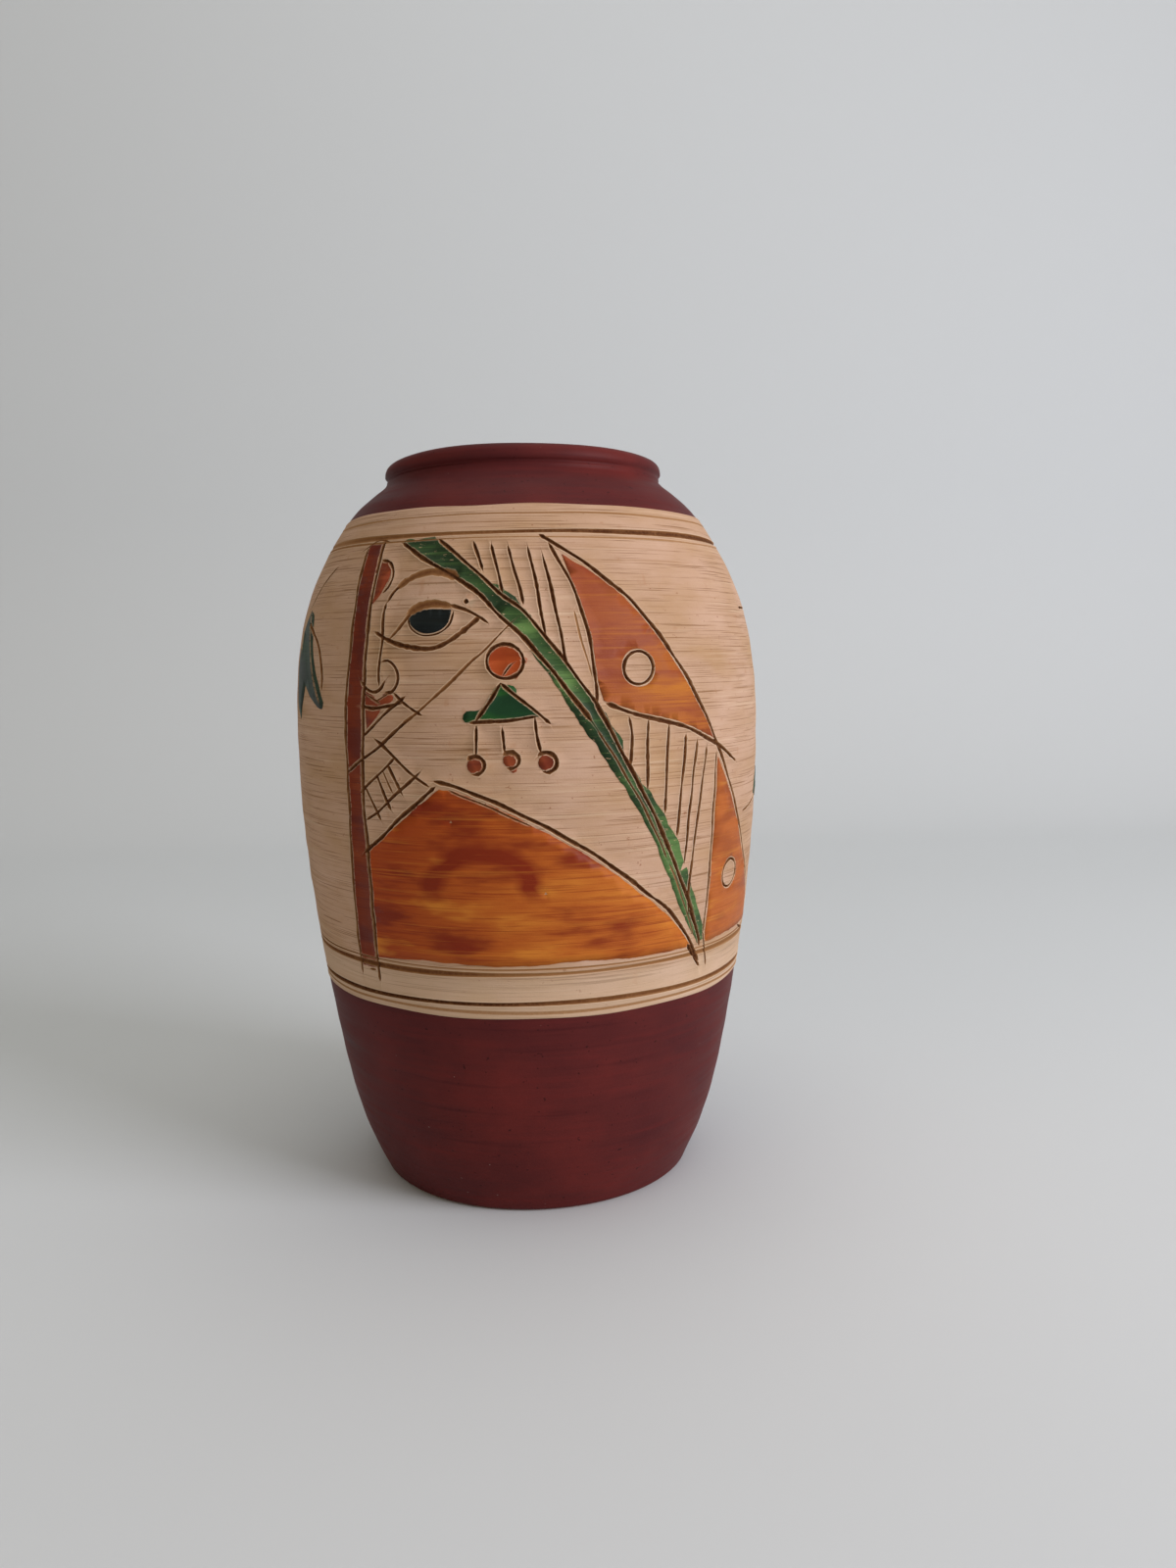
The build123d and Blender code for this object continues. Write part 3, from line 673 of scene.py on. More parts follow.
BURR = 0.32                 # width of the slip pushed up beside a cut
BURR_HEIGHT = 0.15
BURR_LINES = (0.35, 1.0)    # lines of the net across a burr
CUT_REACH = 2.0             # no cut reaches further than this from the middle of its pieces
CUT_LINES = (-1.0, -0.55, 0.0, 0.55, 1.0)              # lines of the net across a cut
cuts = all_cuts()


def cut_map():
    """A search tree over the pieces of all cuts, and what each piece is."""
    pieces = []
    for cut in cuts:
        for spot in range(len(cut.line) - 1):
            pieces.append((cut.line[spot], cut.line[spot + 1], cut.half[spot], cut.half[spot + 1],
                           cut.depth[spot], cut.depth[spot + 1]))
    tree = kdtree.KDTree(len(pieces))
    for number, piece in enumerate(pieces):
        middle = (piece[0] + piece[1]) / 2
        tree.insert((middle[0], middle[1], 0), number)
    tree.balance()
    return pieces, tree


cut_pieces, cut_tree = cut_map()


def cut_at(x, y):
    """Depth of the cut at a flat point, how dark it is, and how much it is a raised burr."""
    deepest, cut_shade_and_stain, ridge = 0.0, 0.0, 0.0
    for _, number, _ in cut_tree.find_range((x, y, 0), CUT_REACH):
        a, b, half_a, half_b, depth_a, depth_b = cut_pieces[number]
        dx, dy = b[0] - a[0], b[1] - a[1]
        t = ((x - a[0]) * dx + (y - a[1]) * dy) / (dx * dx + dy * dy)
        t = min(max(t, 0.0), 1.0)
        gap = math.hypot(x - a[0] - t * dx, y - a[1] - t * dy)
        half = half_a + t * (half_b - half_a)
        depth = depth_a + t * (depth_b - depth_a)
        # A cut darkens towards its middle and with its depth, and a faint darkening runs just outside
        # it: partly the brown of bared and rubbed clay, partly painted shade in and beside the cut.
        if gap < half:
            share = 1 - (gap / half) ** 2
            deepest = max(deepest, depth * share ** 0.8)
            cut_shade_and_stain = max(cut_shade_and_stain, (0.5 + 0.5 * share) * min(1.0, 0.3 + depth / DEEP))
        elif gap < half + BURR:
            share = 1 - abs(2 * (gap - half) / BURR - 0.7)
            if deepest <= 0:
                deepest = min(deepest, -BURR_HEIGHT * max(share, 0.0) * min(1, depth / MIDDLE))
            cut_shade_and_stain = max(cut_shade_and_stain, 0.25 * (1 - (gap - half) / BURR) ** 2)
            ridge = max(ridge, max(share, 0.0) * min(1, depth / MIDDLE))
    return deepest, cut_shade_and_stain, ridge if deepest <= 0 else 0.0


# ---- painted patches on the flat band ----------------------------------------------------------
class Patch:
    """Painted areas that make one piece: closed outlines of places, with holes."""

    def __init__(self, name, material, slot, outlines, holes=(), ragged=0.22):
        self.name, self.material, self.slot = name, material, slot
        self.outlines = [hand_edge(outline, ragged, seed + len(name))
                         for seed, outline in enumerate(outlines)]
        self.holes = [hand_edge(outline, ragged * 0.5, seed + 77)
                      for seed, outline in enumerate(holes)]

    def covers(self, points):
        """Which of these flat points the paint covers."""
        inside = np.zeros(len(points), bool)
        for outline in self.outlines:
            inside |= within(outline, points)
        for hole in self.holes:
            inside &= ~within(hole, points)
        return inside


def hand_edge(outline, ragged, seed):
    """A closed flat outline as a brush leaves it. Runs between corners are smooth curves."""
    runs = outline if isinstance(outline[0], list) else [outline]
    if len(runs) == 1:
        line = smooth_line([unrolled(place) for place in runs[0]], closed=True)[:-1]
    else:
        line = np.vstack([smooth_line([unrolled(place) for place in run])[:-1] for run in runs])
    shake = np.random.default_rng(900 + seed)
    rough = shake.standard_normal(len(line))
    rough = (rough + np.roll(rough, 1) + np.roll(rough, -1)) / 2
    return line + ragged * rough[:, None] * normals_of(line) * 0.5


def within(outline, points):
    """Even-odd test of flat points against a closed outline."""
    inside = np.zeros(len(points), bool)
    near = ((points >= outline.min(0)) & (points <= outline.max(0))).all(1)
    x, y = points[near, 0], points[near, 1]
    hits = np.zeros(len(x), bool)
    for (x1, y1), (x2, y2) in zip(outline, np.roll(outline, -1, axis=0)):
        if y1 != y2:
            crosses = (y1 > y) != (y2 > y)
            hits ^= crosses & (x < (x2 - x1) * (y - y1) / (y2 - y1) + x1)
    inside[near] = hits
    return inside


def disc(place, radius, count=20):
    """A round outline about a place."""
    return [place_beside(place, Vector((radius * math.sin(2 * math.pi * spot / count),
                                        radius * math.cos(2 * math.pi * spot / count))))
            for spot in range(count)]


post_left = [(-44.9, 207.6), (-43.1, 190), (-42.8, 172), (-43.8, 150), (-43.9, 130),
             (-45.0, 104), (-46.0, 80.4)]
post_right = [(-40.2, 80.4), (-39.2, 107), (-39.1, 130), (-38.7, 150), (-38.1, 172),
              (-38.6, 190), (-39.7, 208.2)]
band_under = [(-33.3, 207.8), (-27.7, 204.3), (-16.5, 196.4), (-9.9, 190.8), (-2.9, 181.8),
              (4.4, 168.4), (11.8, 152.7), (16.6, 143.3), (26.7, 122.6), (36.0, 98.5),
              (43.2, 85.0)]
band_over = [(45.2, 86.0), (44.4, 92), (40.2, 102.4), (36.2, 114.6), (30.0, 128), (21.4, 143.3),
             (19.6, 150), (11.8, 166), (2.9, 181.2), (-3.4, 191.2), (-11.2, 197.3),
             (-19.6, 205.5), (-23.7, 208.4)]
fin_outer = [(8.8, 202.6), (16.2, 197.0), (25.0, 187.0), (33.0, 173.6), (39.0, 162.4),
             (46.2, 148.4)]
fin_bottom = [(46.2, 148.4), (35, 154.1), (25.2, 157.2), (16.0, 161.0)]
fin_inner = [(16.0, 161.0), (15.0, 166.0), (13.9, 178.0), (11.9, 189.3), (8.8, 202.6)]
side_inner = [(47.6, 142.6), (46.8, 120.0), (46.4, 102.0), (46.2, 84.9)]
side_outer = [(77.4, 85.4), (71.0, 97.4), (62.6, 111.6), (55.0, 127.8), (47.6, 142.6)]
robe_right = [(41.0, 84.8), (33.0, 95.6), (25.0, 104.0), (15.0, 114.2), (5.0, 122.6),
              (-5.0, 129.9), (-15.0, 135.6), (-19.4, 136.6)]
robe_slope = [(-19.4, 136.6), (-24.2, 131.8), (-30.0, 125.6), (-38.9, 116.6)]
robe_left = [(-38.9, 116.6), (-38.6, 104), (-39.4, 84.2)]
robe_hem = [(-39.4, 84.2), (-24, 85.2), (-8, 84.4), (10, 85.3), (26, 84.6), (41.0, 84.8)]

robe_chips = [((-17.0, 127.2), 0.55), ((-14.0, 120.4), 0.4), ((3.0, 106.2), 0.6),
              ((4.2, 105.6), 0.45), ((-26.5, 97.0), 0.35), ((12.5, 101.5), 0.3)]

patches = [
    Patch("brown_post_stripe", BROWN_PAINT, "brown_paint",
          [[post_left, [post_left[-1], post_right[0]], post_right,
            [post_right[-1], post_left[0]]]]),
    Patch("forehead_half_disc", RUST_PAINT, "brown_paint",
          [[[(-37.9, 202.4), (-35.2, 201.2), (-34.1, 197.8), (-35.2, 193.8), (-37.7, 189.6)],
            [(-37.7, 189.6), (-37.9, 202.4)]]]),
    Patch("eye_pupil", DARK_PAINT, "dark_paint",
          [[[(-26.9, 185.2), (-24.3, 187.0), (-21.0, 187.4), (-16.7, 187.2)],
            [(-16.7, 187.2), (-17.2, 183.6), (-18.9, 181.5), (-21.4, 180.7), (-23.8, 181.1),
             (-26.0, 183.0), (-26.9, 185.2)]]], ragged=0.1),
    Patch("lip_patches", RUST_PAINT, "brown_paint",
          [[[(-37.6, 164.4), (-35.6, 163.2), (-34.2, 162.0)], [(-34.2, 162.0), (-31.0, 164.2)],
            [(-31.0, 164.2), (-29.8, 162.4), (-31.4, 160.8)],
            [(-31.4, 160.8), (-34, 160.2), (-37.5, 160.4)], [(-37.5, 160.4), (-37.6, 164.4)]],
           [[(-37.6, 159.2), (-33.2, 159.2)], [(-33.2, 159.2), (-34.6, 156.8), (-37.2, 153.6)],
            [(-37.2, 153.6), (-37.6, 159.2)]]], ragged=0.15),
    Patch("green_hair_band", GREEN_PAINT, "green_paint",
          [[band_under, [band_under[-1], band_over[0]], band_over,
            [band_over[-1], band_under[0]]]], ragged=0.42),
    Patch("upper_fin_panel", FIN_PAINT, "orange_paint", [[fin_outer, fin_bottom, fin_inner]],
          holes=[disc((24.5, 170.1), 5.5)]),
    Patch("side_fin_panel", SIDE_PAINT, "orange_paint",
          [[side_inner, [side_inner[-1], (60, 85.2), side_outer[0]], side_outer]],
          holes=[disc((55.4, 105.0), 5.2)]),
    Patch("robe_panel", ORANGE_PAINT, "orange_paint",
          [[robe_right, robe_slope, robe_left, robe_hem]],
          holes=[disc(place, radius, 7) for place, radius in robe_chips]),
    Patch("earring_disc", DISC_PAINT, "orange_paint",
          [disc((-4.7, 172.5), 4.5), disc((-0.8, 172.7), 1.0, 9), disc((-2.4, 168.2), 0.8, 8)]),
    Patch("earring_triangle", EMERALD_PAINT, "green_paint",
          [[[(-6.6, 165.4), (-8.2, 162.4), (-10.0, 159.2), (-13.2, 158.2), (-13.4, 155.9),
             (-11.4, 155.8)], [(-11.4, 155.8), (-5, 156.3), (2.2, 157.0)],
            [(2.2, 157.0), (-0.8, 161.2), (-2.4, 163.4)],
            [(-2.4, 163.4), (-2.6, 165.2), (-4.4, 166.0), (-6.6, 165.4)]]]),
    Patch("earring_drops", RUST_PAINT, "brown_paint",
          [disc((-11.4, 143.4), 2.2, 12), disc((-4.0, 144.8), 1.9, 12),
           disc((-3.4, 142.3), 1.2, 10), disc((3.4, 144.1), 2.2, 12)],
          ragged=0.16),
    Patch("left_leaf_pair", DULL_GREEN_PAINT, "green_paint",
          [[[(-66.9, 189.2), (-63.4, 187.0), (-61.0, 178.4), (-57.4, 169.4), (-53.0, 160.8)],
            [(-53.0, 160.8), (-53.9, 158.6), (-58.4, 161.0), (-64.4, 166.0)],
            [(-64.4, 166.0), (-66.2, 160.6), (-68.8, 155.2)],
            [(-68.8, 155.2), (-71.6, 160.0), (-73.0, 170.0), (-71.6, 180.0), (-66.9, 189.2)]]]),
    Patch("right_leaf", DULL_GREEN_PAINT, "green_paint",
          [[[(72.8, 127.8), (74.6, 133.6), (80.0, 136.0), (90.0, 131.0), (95.6, 125.4)],
            [(95.6, 125.4), (84.0, 125.8), (76.0, 126.4), (72.8, 127.8)]]]),
    Patch("back_leaf_sprig", GREEN_PAINT, "green_paint",
          [leaf_places(base, lean, LEAF_LENGTH, LEAF_WIDTH) for base, lean in back_leaves]),
    Patch("back_fruit_discs", DISC_PAINT, "orange_paint",
          [disc(place, 4.7) for place in ((152.0, 186.0), (208.0, 186.0), (180.0, 92.0))]),
]

# ---- the net of the drawn band -----------------------------------------------------------------


def band_net():
    """Triangles over the unrolled band, with every cut and painted edge as edges of the net."""
    points, edges = [], []

    def lay(line, closed=False):
        first = len(points)
        points.extend(Vector((float(x), float(y))) for x, y in line)
        edges.extend((spot, spot + 1) for spot in range(first, len(points) - 1))
        if closed:
            edges.append((len(points) - 1, first))

    for cut in cuts:
        for share in CUT_LINES:
            lay(cut.line + cut.square * (share * cut.half)[:, None])
        for side in (-1, 1):
            for share in BURR_LINES:
                lay(cut.line + cut.square * (side * (cut.half + share * BURR))[:, None])
    for patch in patches:
        for outline in patch.outlines + patch.holes:
            lay(outline, closed=True)
    columns = round((BAND_END - BAND_START) / EDGE_STEP)
    across = np.linspace(BAND_START, BAND_END, columns + 1)
    for inset in EDGE_INSETS:
        lay(np.stack((across, slip_top(across / UNROLLED_RADIUS) - inset), 1))
        lay(np.stack((across, slip_bottom(across / UNROLLED_RADIUS) + inset), 1))
    busy = kdtree.KDTree(len(points))
    for number, point in enumerate(points):
        busy.insert((point.x, point.y, 0), number)
    busy.balance()
    low, high = SLIP_LOW - 2, SLIP_HIGH + 1
    columns = round((BAND_END - BAND_START) / GRID)
    across = np.linspace(BAND_START, BAND_END, columns + 1)
    rows = round((high - low) / GRID)
    for row, y in enumerate(np.linspace(low, high, rows + 1)):
        for column, x in enumerate(across):
            edge_column = column in (0, columns)
            spot = x if edge_column or row % 2 else x + GRID / 2
            if spot > BAND_END:
                continue
            crowd = SEAM_CROWD if edge_column else CROWD
            turn = spot / UNROLLED_RADIUS
            if not slip_bottom(turn) + EDGE_MARGIN < y < slip_top(turn) - EDGE_MARGIN:
                continue
            if busy.find((spot, y, 0))[2] > crowd:
                points.append(Vector((float(spot), float(y))))
    flat, _, faces, _, _, _ = delaunay_2d_cdt(points, edges, [], 0, 1e-4)
    flat = np.array(flat)
    faces = np.array([face for face in faces if len(face) == 3])
    middles = flat[faces].mean(1)
    turns = middles[:, 0] / UNROLLED_RADIUS
    keep = (middles[:, 1] > slip_bottom(turns)) & (middles[:, 1] < slip_top(turns))
    keep &= (middles[:, 0] > BAND_START) & (middles[:, 0] < BAND_END)
    corners = flat[faces]
    side1, side2 = corners[:, 1] - corners[:, 0], corners[:, 2] - corners[:, 0]
    keep &= np.abs(side1[:, 0] * side2[:, 1] - side1[:, 1] * side2[:, 0]) > SLIVER
    return flat, faces[keep], middles[keep]


flat, faces, middles = band_net()
cut_depth, cut_shade_and_stain, ridge = np.array([cut_at(x, y) for x, y in flat]).T
scraped = np.array([cut_at(x, y)[0] for x, y in middles]) > 0.0


def sheet_mesh(chosen, off_clay, carve=True):
    """A bmesh of chosen triangles of the net, laid on the pot this far off the clay."""
    bm = bmesh.new()
    marks = bm.verts.layers.float.new("cut_shade_and_stain")
    ridges = bm.verts.layers.float.new("ridge")
    laid = {}
    for number in np.unique(faces[chosen]):
        x, y = flat[number]
        depth = cut_depth[number] if carve else min(cut_depth[number], 0.0)
        inset = min(slip_top(x / UNROLLED_RADIUS) - y, y - slip_bottom(x / UNROLLED_RADIUS))
        depth -= EDGE_RIDGE * max(0.0, 1 - abs(inset - EDGE_INSETS[1]) / EDGE_INSETS[1])
        vertex = bm.verts.new(on_pot(x / DEGREE, y, off_clay - depth))
        vertex[marks] = cut_shade_and_stain[number]
        vertex[ridges] = ridge[number]
        laid[number] = vertex
    for face, cut in zip(faces[chosen], scraped[chosen]):
        made = bm.faces.new([laid[number] for number in face])
        made.smooth = True
        made.material_index = 1 if cut else 0
    bmesh.ops.remove_doubles(bm, verts=bm.verts, dist=WELD)
    return bm


def placed(bm, name, materials):
    """Turns a bmesh into an object of the scene."""
    mesh = bpy.data.meshes.new(name)
    bm.to_mesh(mesh)
    bm.free()
    for material in materials:
        mesh.materials.append(material)
    made = bpy.data.objects.new(name, mesh)
    bpy.context.scene.collection.objects.link(made)
    return made


def finish_piece(bm, name, materials, replaces):
    """Turns a bmesh into a piece of the vase that rides with the pot."""
    piece = placed(bm, name, materials)
    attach(piece, BODY)
    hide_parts(replaces)


def pushed(bm, edges, radial, rise):
    """Extrudes a loop of edges and moves the new points out and up, in millimetres."""
    made = bmesh.ops.extrude_edge_only(bm, edges=edges)["geom"]
    for vertex in [item for item in made if isinstance(item, bmesh.types.BMVert)]:
        outwards = Vector((vertex.co.x, vertex.co.y, 0)).normalized()
        vertex.co += outwards * radial * MM
        vertex.co.z += rise * MM
    return [item for item in made if isinstance(item, bmesh.types.BMEdge)
            and all(vertex in made for vertex in item.verts)]


def cream_slip_piece():
    """The cream band: drawn face, rolled edges and a back against the clay."""
    bm = sheet_mesh(np.ones(len(faces), bool), SLIP)
    seam = [vertex for vertex in bm.verts if vertex.is_boundary]
    bmesh.ops.remove_doubles(bm, verts=seam, dist=SEAM_WELD)
    bmesh.ops.dissolve_degenerate(bm, edges=bm.edges, dist=WELD)
    rim = [edge for edge in bm.edges if edge.is_boundary]
    middle = (SLIP_LOW + SLIP_HIGH) / 2 * MM
    top = [edge for edge in rim if edge.verts[0].co.z > middle]
    bottom = [edge for edge in rim if edge.verts[0].co.z <= middle]
    for inwards, rise in ((-0.22, 0.10), (-0.9, -0.1)):
        top = pushed(bm, top, inwards, rise)
    for inwards, rise in ((-0.14, -0.12), (-0.9, 0.1)):
        bottom = pushed(bm, bottom, inwards, rise)
    for height in np.linspace(SLIP_HIGH - 4, SLIP_LOW + 6, 12):
        top = pushed(bm, top, 0, 0)
        for vertex in {vertex for edge in top for vertex in edge.verts}:
            turn = math.atan2(vertex.co.x, -vertex.co.y)
            vertex.co = on_pot(math.degrees(turn), height, -TUCK)
    bmesh.ops.bridge_loops(bm, edges=top + bottom)
    bmesh.ops.recalc_face_normals(bm, faces=bm.faces)
    finish_piece(bm, "cream_slip", [CREAM, SCRAPED], "cream_slip_coat")


def clean_sheet(bm, least=6):
    """Opens a sheet where it only meets itself at a point, and removes bits of few faces."""
    while True:
        pinched = [vertex for vertex in bm.verts
                   if sum(edge.is_boundary for edge in vertex.link_edges) > 2]
        if not pinched:
            break
        touching = {face for vertex in pinched for face in vertex.link_faces}
        bmesh.ops.delete(bm, geom=list(touching), context="FACES")
    unseen = set(bm.faces)
    while unseen:
        bit, ahead = [], [unseen.pop()]
        while ahead:
            face = ahead.pop()
            bit.append(face)
            beside = {other for edge in face.edges for other in edge.link_faces} & unseen
            unseen -= beside
            ahead.extend(beside)
        if len(bit) < least:
            bmesh.ops.delete(bm, geom=bit, context="FACES")


def patch_piece(patch):
    """One painted patch: a thin shell in the slip, broken where a cut runs through it."""
    chosen = patch.covers(middles) & ~scraped
    bm = sheet_mesh(chosen, SLIP + PAINT, carve=False)
    clean_sheet(bm)
    bmesh.ops.solidify(bm, geom=bm.faces[:], thickness=PAINT_DEPTH * MM)
    finish_piece(bm, "painted_" + patch.name, [patch.material], patch.name)


# ---- turned pieces -----------------------------------------------------------------------------
TURNS = 168                 # sides of a turned piece
CREST_OUT = 3.5             # how far the lip's crest lies outside the throat
ROLL_FOOT, ROLL_RISE = 4.3, 4.1        # below the rim: where the lip's roll starts; how far it rises
THROAT_FOOT = 3.7           # below the rim: where the lip's inner curve ends
SAG_REACH = 14              # how far below the rim its sag starts
COAT_DEPTH = 1.2            # how far the hidden back of an oxblood coat lies in the clay
TUCKED_UNDER = 2.5          # how far the neck's coat runs under the slip
FLOOR = 8.15                # height of the floor inside


def spun(profile, shape=None):
    """A turned solid from a closed profile of (radius, height) in millimetres."""
    bm = bmesh.new()
    corners = [bm.verts.new((0, -radius * MM, height * MM)) for radius, height in profile]
    edges = [bm.edges.new(pair) for pair in zip(corners, corners[1:] + corners[:1])]
    bmesh.ops.spin(bm, geom=corners + edges, cent=(0, 0, 0), axis=(0, 0, 1), dvec=(0, 0, 0),
                   angle=2 * math.pi, steps=TURNS, use_merge=True)
    bmesh.ops.remove_doubles(bm, verts=bm.verts, dist=WELD)
    bmesh.ops.dissolve_degenerate(bm, edges=bm.edges, dist=1e-7)
    for vertex in bm.verts:
        radius = math.hypot(vertex.co.x, vertex.co.y) / MM
        if radius > 1:
            turn = math.atan2(vertex.co.x, -vertex.co.y)
            out, up = shape(turn, radius, vertex.co.z / MM) if shape else (0, 0)
            out += float(out_of_round(turn, vertex.co.z / MM)) * min(radius / 40, 1)
            vertex.co.x += out * MM * math.sin(turn)
            vertex.co.y -= out * MM * math.cos(turn)
            vertex.co.z += up * MM
    for face in bm.faces:
        face.smooth = True
    bmesh.ops.recalc_face_normals(bm, faces=bm.faces)
    return bm


def rim_sag(turn, height):
    """How far the hand-turned rim rises or droops, growing towards the top."""
    share = np.clip((height - (VASE_HEIGHT - SAG_REACH)) / SAG_REACH, 0, 1) ** 2
    droop = 0.2 + 0.6 * np.sin(turn) ** 2 - 0.2 * np.sin(turn) + 0.2 * np.sin(2 * turn)
    return share * (waver(turn, 0.15, 61, 3, 4) - droop)


def lip_line(offset):
    """The rolled lip from the waist over the crest and into the throat, as (radius, height)."""
    crest = THROAT_RADIUS + CREST_OUT
    waist = float(clay_radius(VASE_HEIGHT - 6.2))
    line = [(waist - 0.2 + offset, VASE_HEIGHT - 5.6), (waist + offset, VASE_HEIGHT - 5.0)]
    for degrees in range(0, 91, 9):
        turn = math.radians(degrees)
        line.append((crest + (waist + 0.5 - crest + offset) * math.cos(turn) ** 0.8,
                     VASE_HEIGHT - ROLL_FOOT + (ROLL_RISE + offset) * math.sin(turn) ** 0.85))
    for degrees in range(15, 91, 15):
        turn = math.radians(degrees)
        line.append((crest - (CREST_OUT + offset * 0.2) * math.sin(turn),
                     VASE_HEIGHT - THROAT_FOOT + (CREST_OUT + offset) * math.cos(turn)))
    return line


def red_neck_piece():
    """Oxblood coat from under the slip, over shoulder and lip and a little way into the throat."""
    start = SLIP_HIGH - TUCKED_UNDER
    outside = [(float(clay_radius(start)) - TUCK, start)]
    outside += [(float(clay_radius(height)) + RED * min(1, (height - start) / TUCKED_UNDER), height)
                for height in np.arange(SLIP_HIGH - 1.5, VASE_HEIGHT - 5.9, 0.6)]
    lip = lip_line(RED)
    throat = [(THROAT_RADIUS - 0.1, VASE_HEIGHT - 5.2), (THROAT_RADIUS + 0.4, VASE_HEIGHT - 6.5)]
    back = [(radius - COAT_DEPTH, height) for radius, height in lip_line(-1.0)[::-3]]
    back += [(float(clay_radius(height)) - COAT_DEPTH, height)
             for height in np.linspace(VASE_HEIGHT - 8, start, 6)]

    def shape(turn, radius, height):
        below = VASE_HEIGHT - height
        crease = 0.7 * max(math.cos(turn + 0.5), 0.15) * math.exp(-((below - 5.6) / 0.45) ** 2)
        crease += 0.4 * max(math.cos(turn - 0.8), 0.1) * math.exp(-((below - 7.2) / 0.6) ** 2)
        return -crease, rim_sag(turn, height)

    bm = spun(outside + lip + throat + back, shape)
    finish_piece(bm, "oxblood_neck", [OXBLOOD], "red_neck_coat")


def red_foot_piece():
    """Oxblood coat from the foot edge up to under the slip."""
    edge = [(FOOT_RADIUS + RED - 1.6, 0.35), (FOOT_RADIUS + RED - 0.7, 0.55),
            (FOOT_RADIUS + RED - 0.15, 1.1)]
    outside = [(float(clay_radius(height)) + RED, height)
               for height in np.arange(2.0, SLIP_LOW - 0.8, 2.0)]
    under = [(float(clay_radius(SLIP_LOW)) + RED - 0.12, SLIP_LOW + 0.2),
             (float(clay_radius(SLIP_LOW + 2.2)) - 0.15, SLIP_LOW + 2.2)]
    back = [(float(clay_radius(height)) - COAT_DEPTH, height)
            for height in np.linspace(SLIP_LOW + 2.2, 3, 12)]
    bm = spun(edge + outside + under + back)
    finish_piece(bm, "oxblood_foot", [OXBLOOD], "red_foot_coat")


def clay_piece():
    """The thrown clay: foot with turning rings, wall with finger ridges inside, bare throat."""
    foot = [(radius, 0.12 * (1 - math.cos(radius * 1.1))) for radius in np.arange(2.0, 46.0, 1.9)]
    foot += [(FOOT_RADIUS - 5.0, 0.0), (FOOT_RADIUS - 1.4, 0.0), (FOOT_RADIUS - 0.9, 0.3)]
    outside = [(float(clay_radius(height)) - 0.9, height)
               for height in np.linspace(2.5, VASE_HEIGHT - 8, 40)]
    lip = [(radius - 0.35, height - 0.5) for radius, height in lip_line(-0.4)]
    throat = [(THROAT_RADIUS + 0.1, VASE_HEIGHT - 7.0), (THROAT_RADIUS + 0.1, VASE_HEIGHT - 11.0)]
    inside = [(float(inner_radius(height)) + 0.22 * math.sin(height / 1.35), height)
              for height in np.arange(VASE_HEIGHT - 15, 20, -1.6)]
    floor = [(float(inner_radius(13.0)) - 1.5, 11.0), (float(inner_radius(13.0)) - 7, 8.6)]
    floor += [(radius, FLOOR + 0.25 * math.sin(radius * 0.9)) for radius in np.arange(34, 1, -1.6)]

    def shape(turn, radius, height):
        return 0.0, rim_sag(turn, height)

    profile = [(0.0, 0.0)] + foot + outside + lip + throat + inside + floor + [(0.0, 8.2)]
    bm = spun(profile, shape)
    finish_piece(bm, "thrown_clay", [TERRACOTTA], "clay_body")


clay_piece()
cream_slip_piece()
red_foot_piece()
red_neck_piece()
for patch in patches:
    patch_piece(patch)

# ---- stage, light, camera ----------------------------------------------------------------------


def backdrop():
    """A pale floor that sweeps up behind the vase."""
    half_width, near, far, bend, tall = 5.0, -4.0, 0.62, 0.35, 2.4
    line = [(near, 0.0), (far - bend / 3, 0.0)]
    line += [(far + bend * math.sin(turn), bend - bend * math.cos(turn))
             for turn in np.linspace(0, math.pi / 2, 16)[1:]]
    line += [(far + bend, tall)]
    bm = bmesh.new()
    across = [bm.verts.new((-half_width, y, z)) for y, z in line]
    edges = [bm.edges.new(pair) for pair in zip(across, across[1:])]
    made = bmesh.ops.extrude_edge_only(bm, edges=edges)["geom"]
    bmesh.ops.translate(bm, vec=(2 * half_width, 0, 0),
                        verts=[item for item in made if isinstance(item, bmesh.types.BMVert)])
    bmesh.ops.recalc_face_normals(bm, faces=bm.faces)
    for face in bm.faces:
        face.smooth = True
    material, shader = new_material("pale_backdrop", Roughness=0.9, IOR=1.45)
    shader.inputs["Base Color"].default_value = colour("#d9dddf")
    placed(bm, "backdrop", [material])


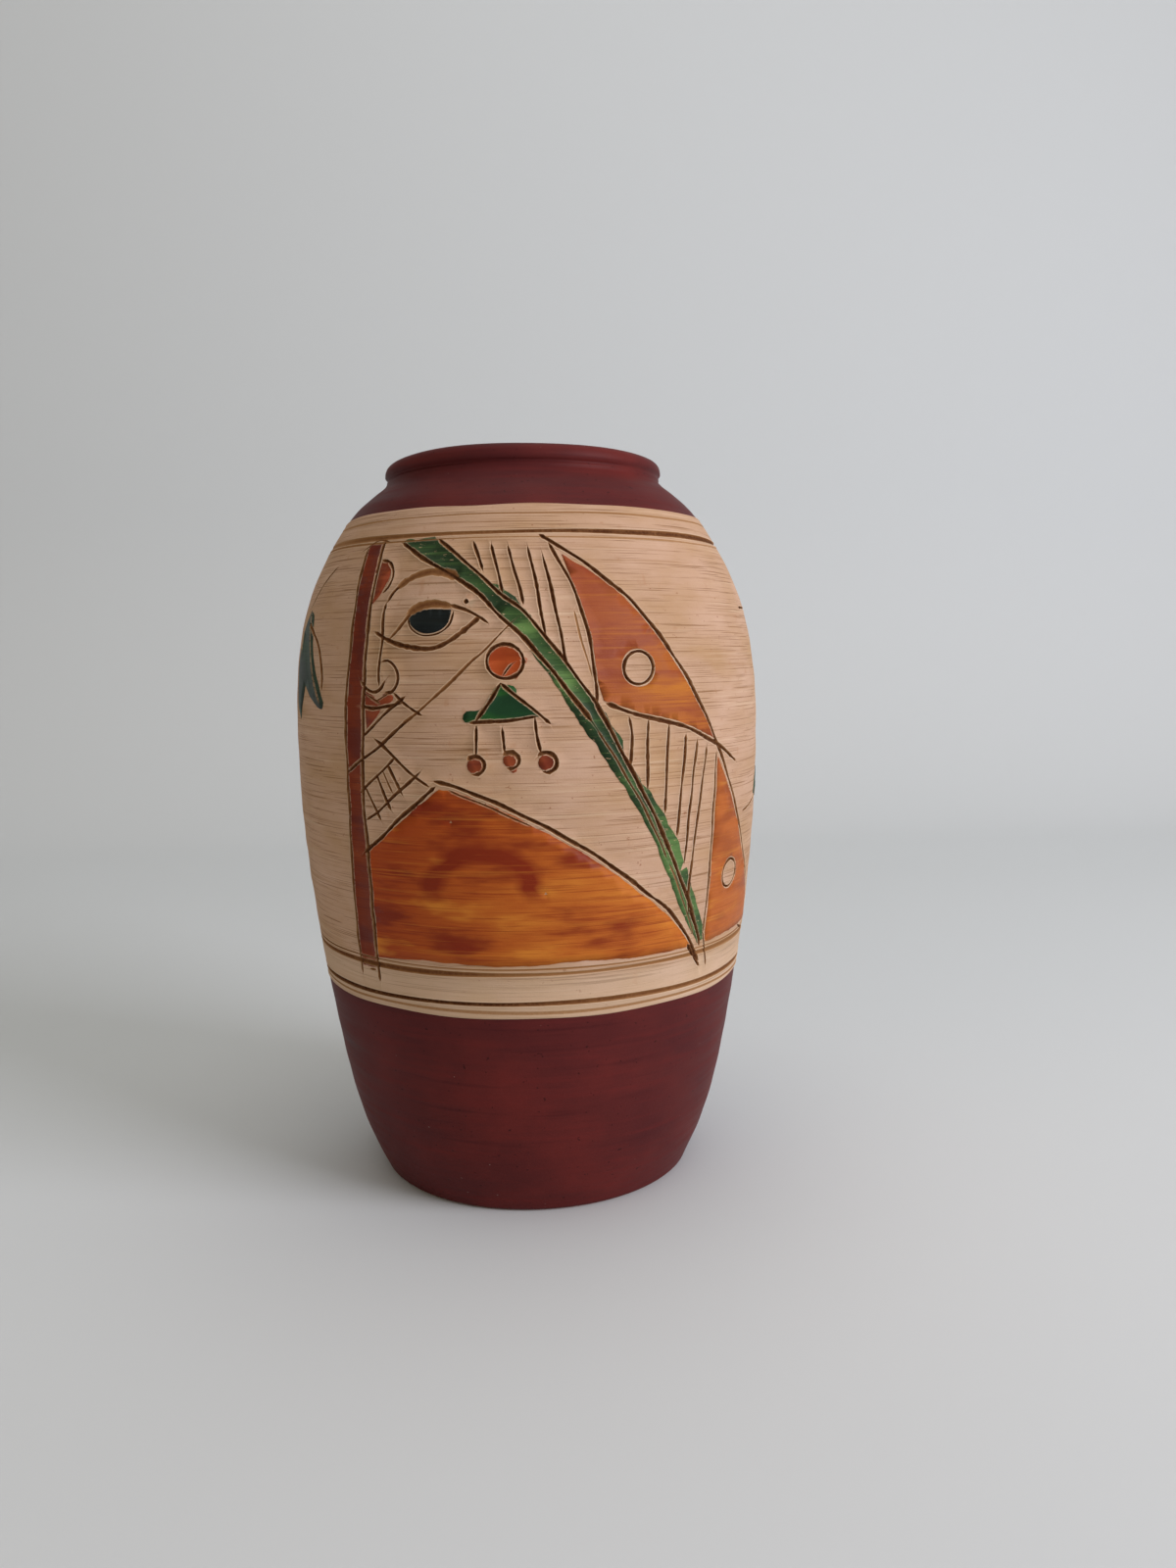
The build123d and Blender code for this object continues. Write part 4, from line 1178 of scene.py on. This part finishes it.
def soft_light(name, place, aim, size, power, tint, shine=1.0):
    """A square soft light that looks at a point."""
    lamp = bpy.data.lights.new(name, "AREA")
    lamp.shape = "SQUARE"
    lamp.size = size
    lamp.energy = power
    lamp.color = colour(tint)[:3]
    lamp.specular_factor = shine
    made = bpy.data.objects.new(name, lamp)
    made.location = place
    made.rotation_euler = (Vector(aim) - Vector(place)).to_track_quat("-Z", "Y").to_euler()
    bpy.context.scene.collection.objects.link(made)


backdrop()
soft_light("window", (1.3, -0.85, 0.72), (0, 0, 0.11), 0.8, 21.0, "#f8f6fe")
soft_light("room", (-1.3, -1.5, 0.9), (0, 0, 0.1), 1.6, 3.0, "#ffdcae")
soft_light("ceiling", (0.1, -0.1, 1.8), (0, 0, 0.0), 1.6, 8.0, "#fffdfa", shine=0.3)

world = bpy.data.worlds.new("studio")
world.use_nodes = True
world.node_tree.nodes["Background"].inputs["Color"].default_value = colour("#ebe6da")
world.node_tree.nodes["Background"].inputs["Strength"].default_value = 0.3
bpy.context.scene.world = world


CAMERA_PLACE = (0, -0.4069, 0.1738)
YAW, PITCH, ROLL = 2.85, 6.24, -0.86                   # degrees
SENSOR, FOCAL = 36.0, 27.0


def place_camera():
    """A phone camera about 0.4 m in front of the vase, a little below its lip."""
    yaw, pitch, roll = math.radians(YAW), math.radians(PITCH), math.radians(ROLL)
    right = Vector((math.cos(yaw), -math.sin(yaw), 0))
    forward = Vector((math.sin(yaw) * math.cos(pitch), math.cos(yaw) * math.cos(pitch),
                      -math.sin(pitch)))
    up = right.cross(forward)
    rolled_right = math.cos(roll) * right + math.sin(roll) * up
    rolled_up = math.cos(roll) * up - math.sin(roll) * right
    turn = Matrix((rolled_right, rolled_up, -forward)).transposed()
    lens = bpy.data.cameras.new("camera")
    lens.sensor_width = SENSOR
    lens.lens = FOCAL
    lens.clip_start = 0.01
    camera = bpy.data.objects.new("camera", lens)
    camera.matrix_world = Matrix.Translation(CAMERA_PLACE) @ turn.to_4x4()
    bpy.context.scene.collection.objects.link(camera)
    bpy.context.scene.camera = camera


place_camera()
bpy.context.scene.view_settings.view_transform = "Standard"
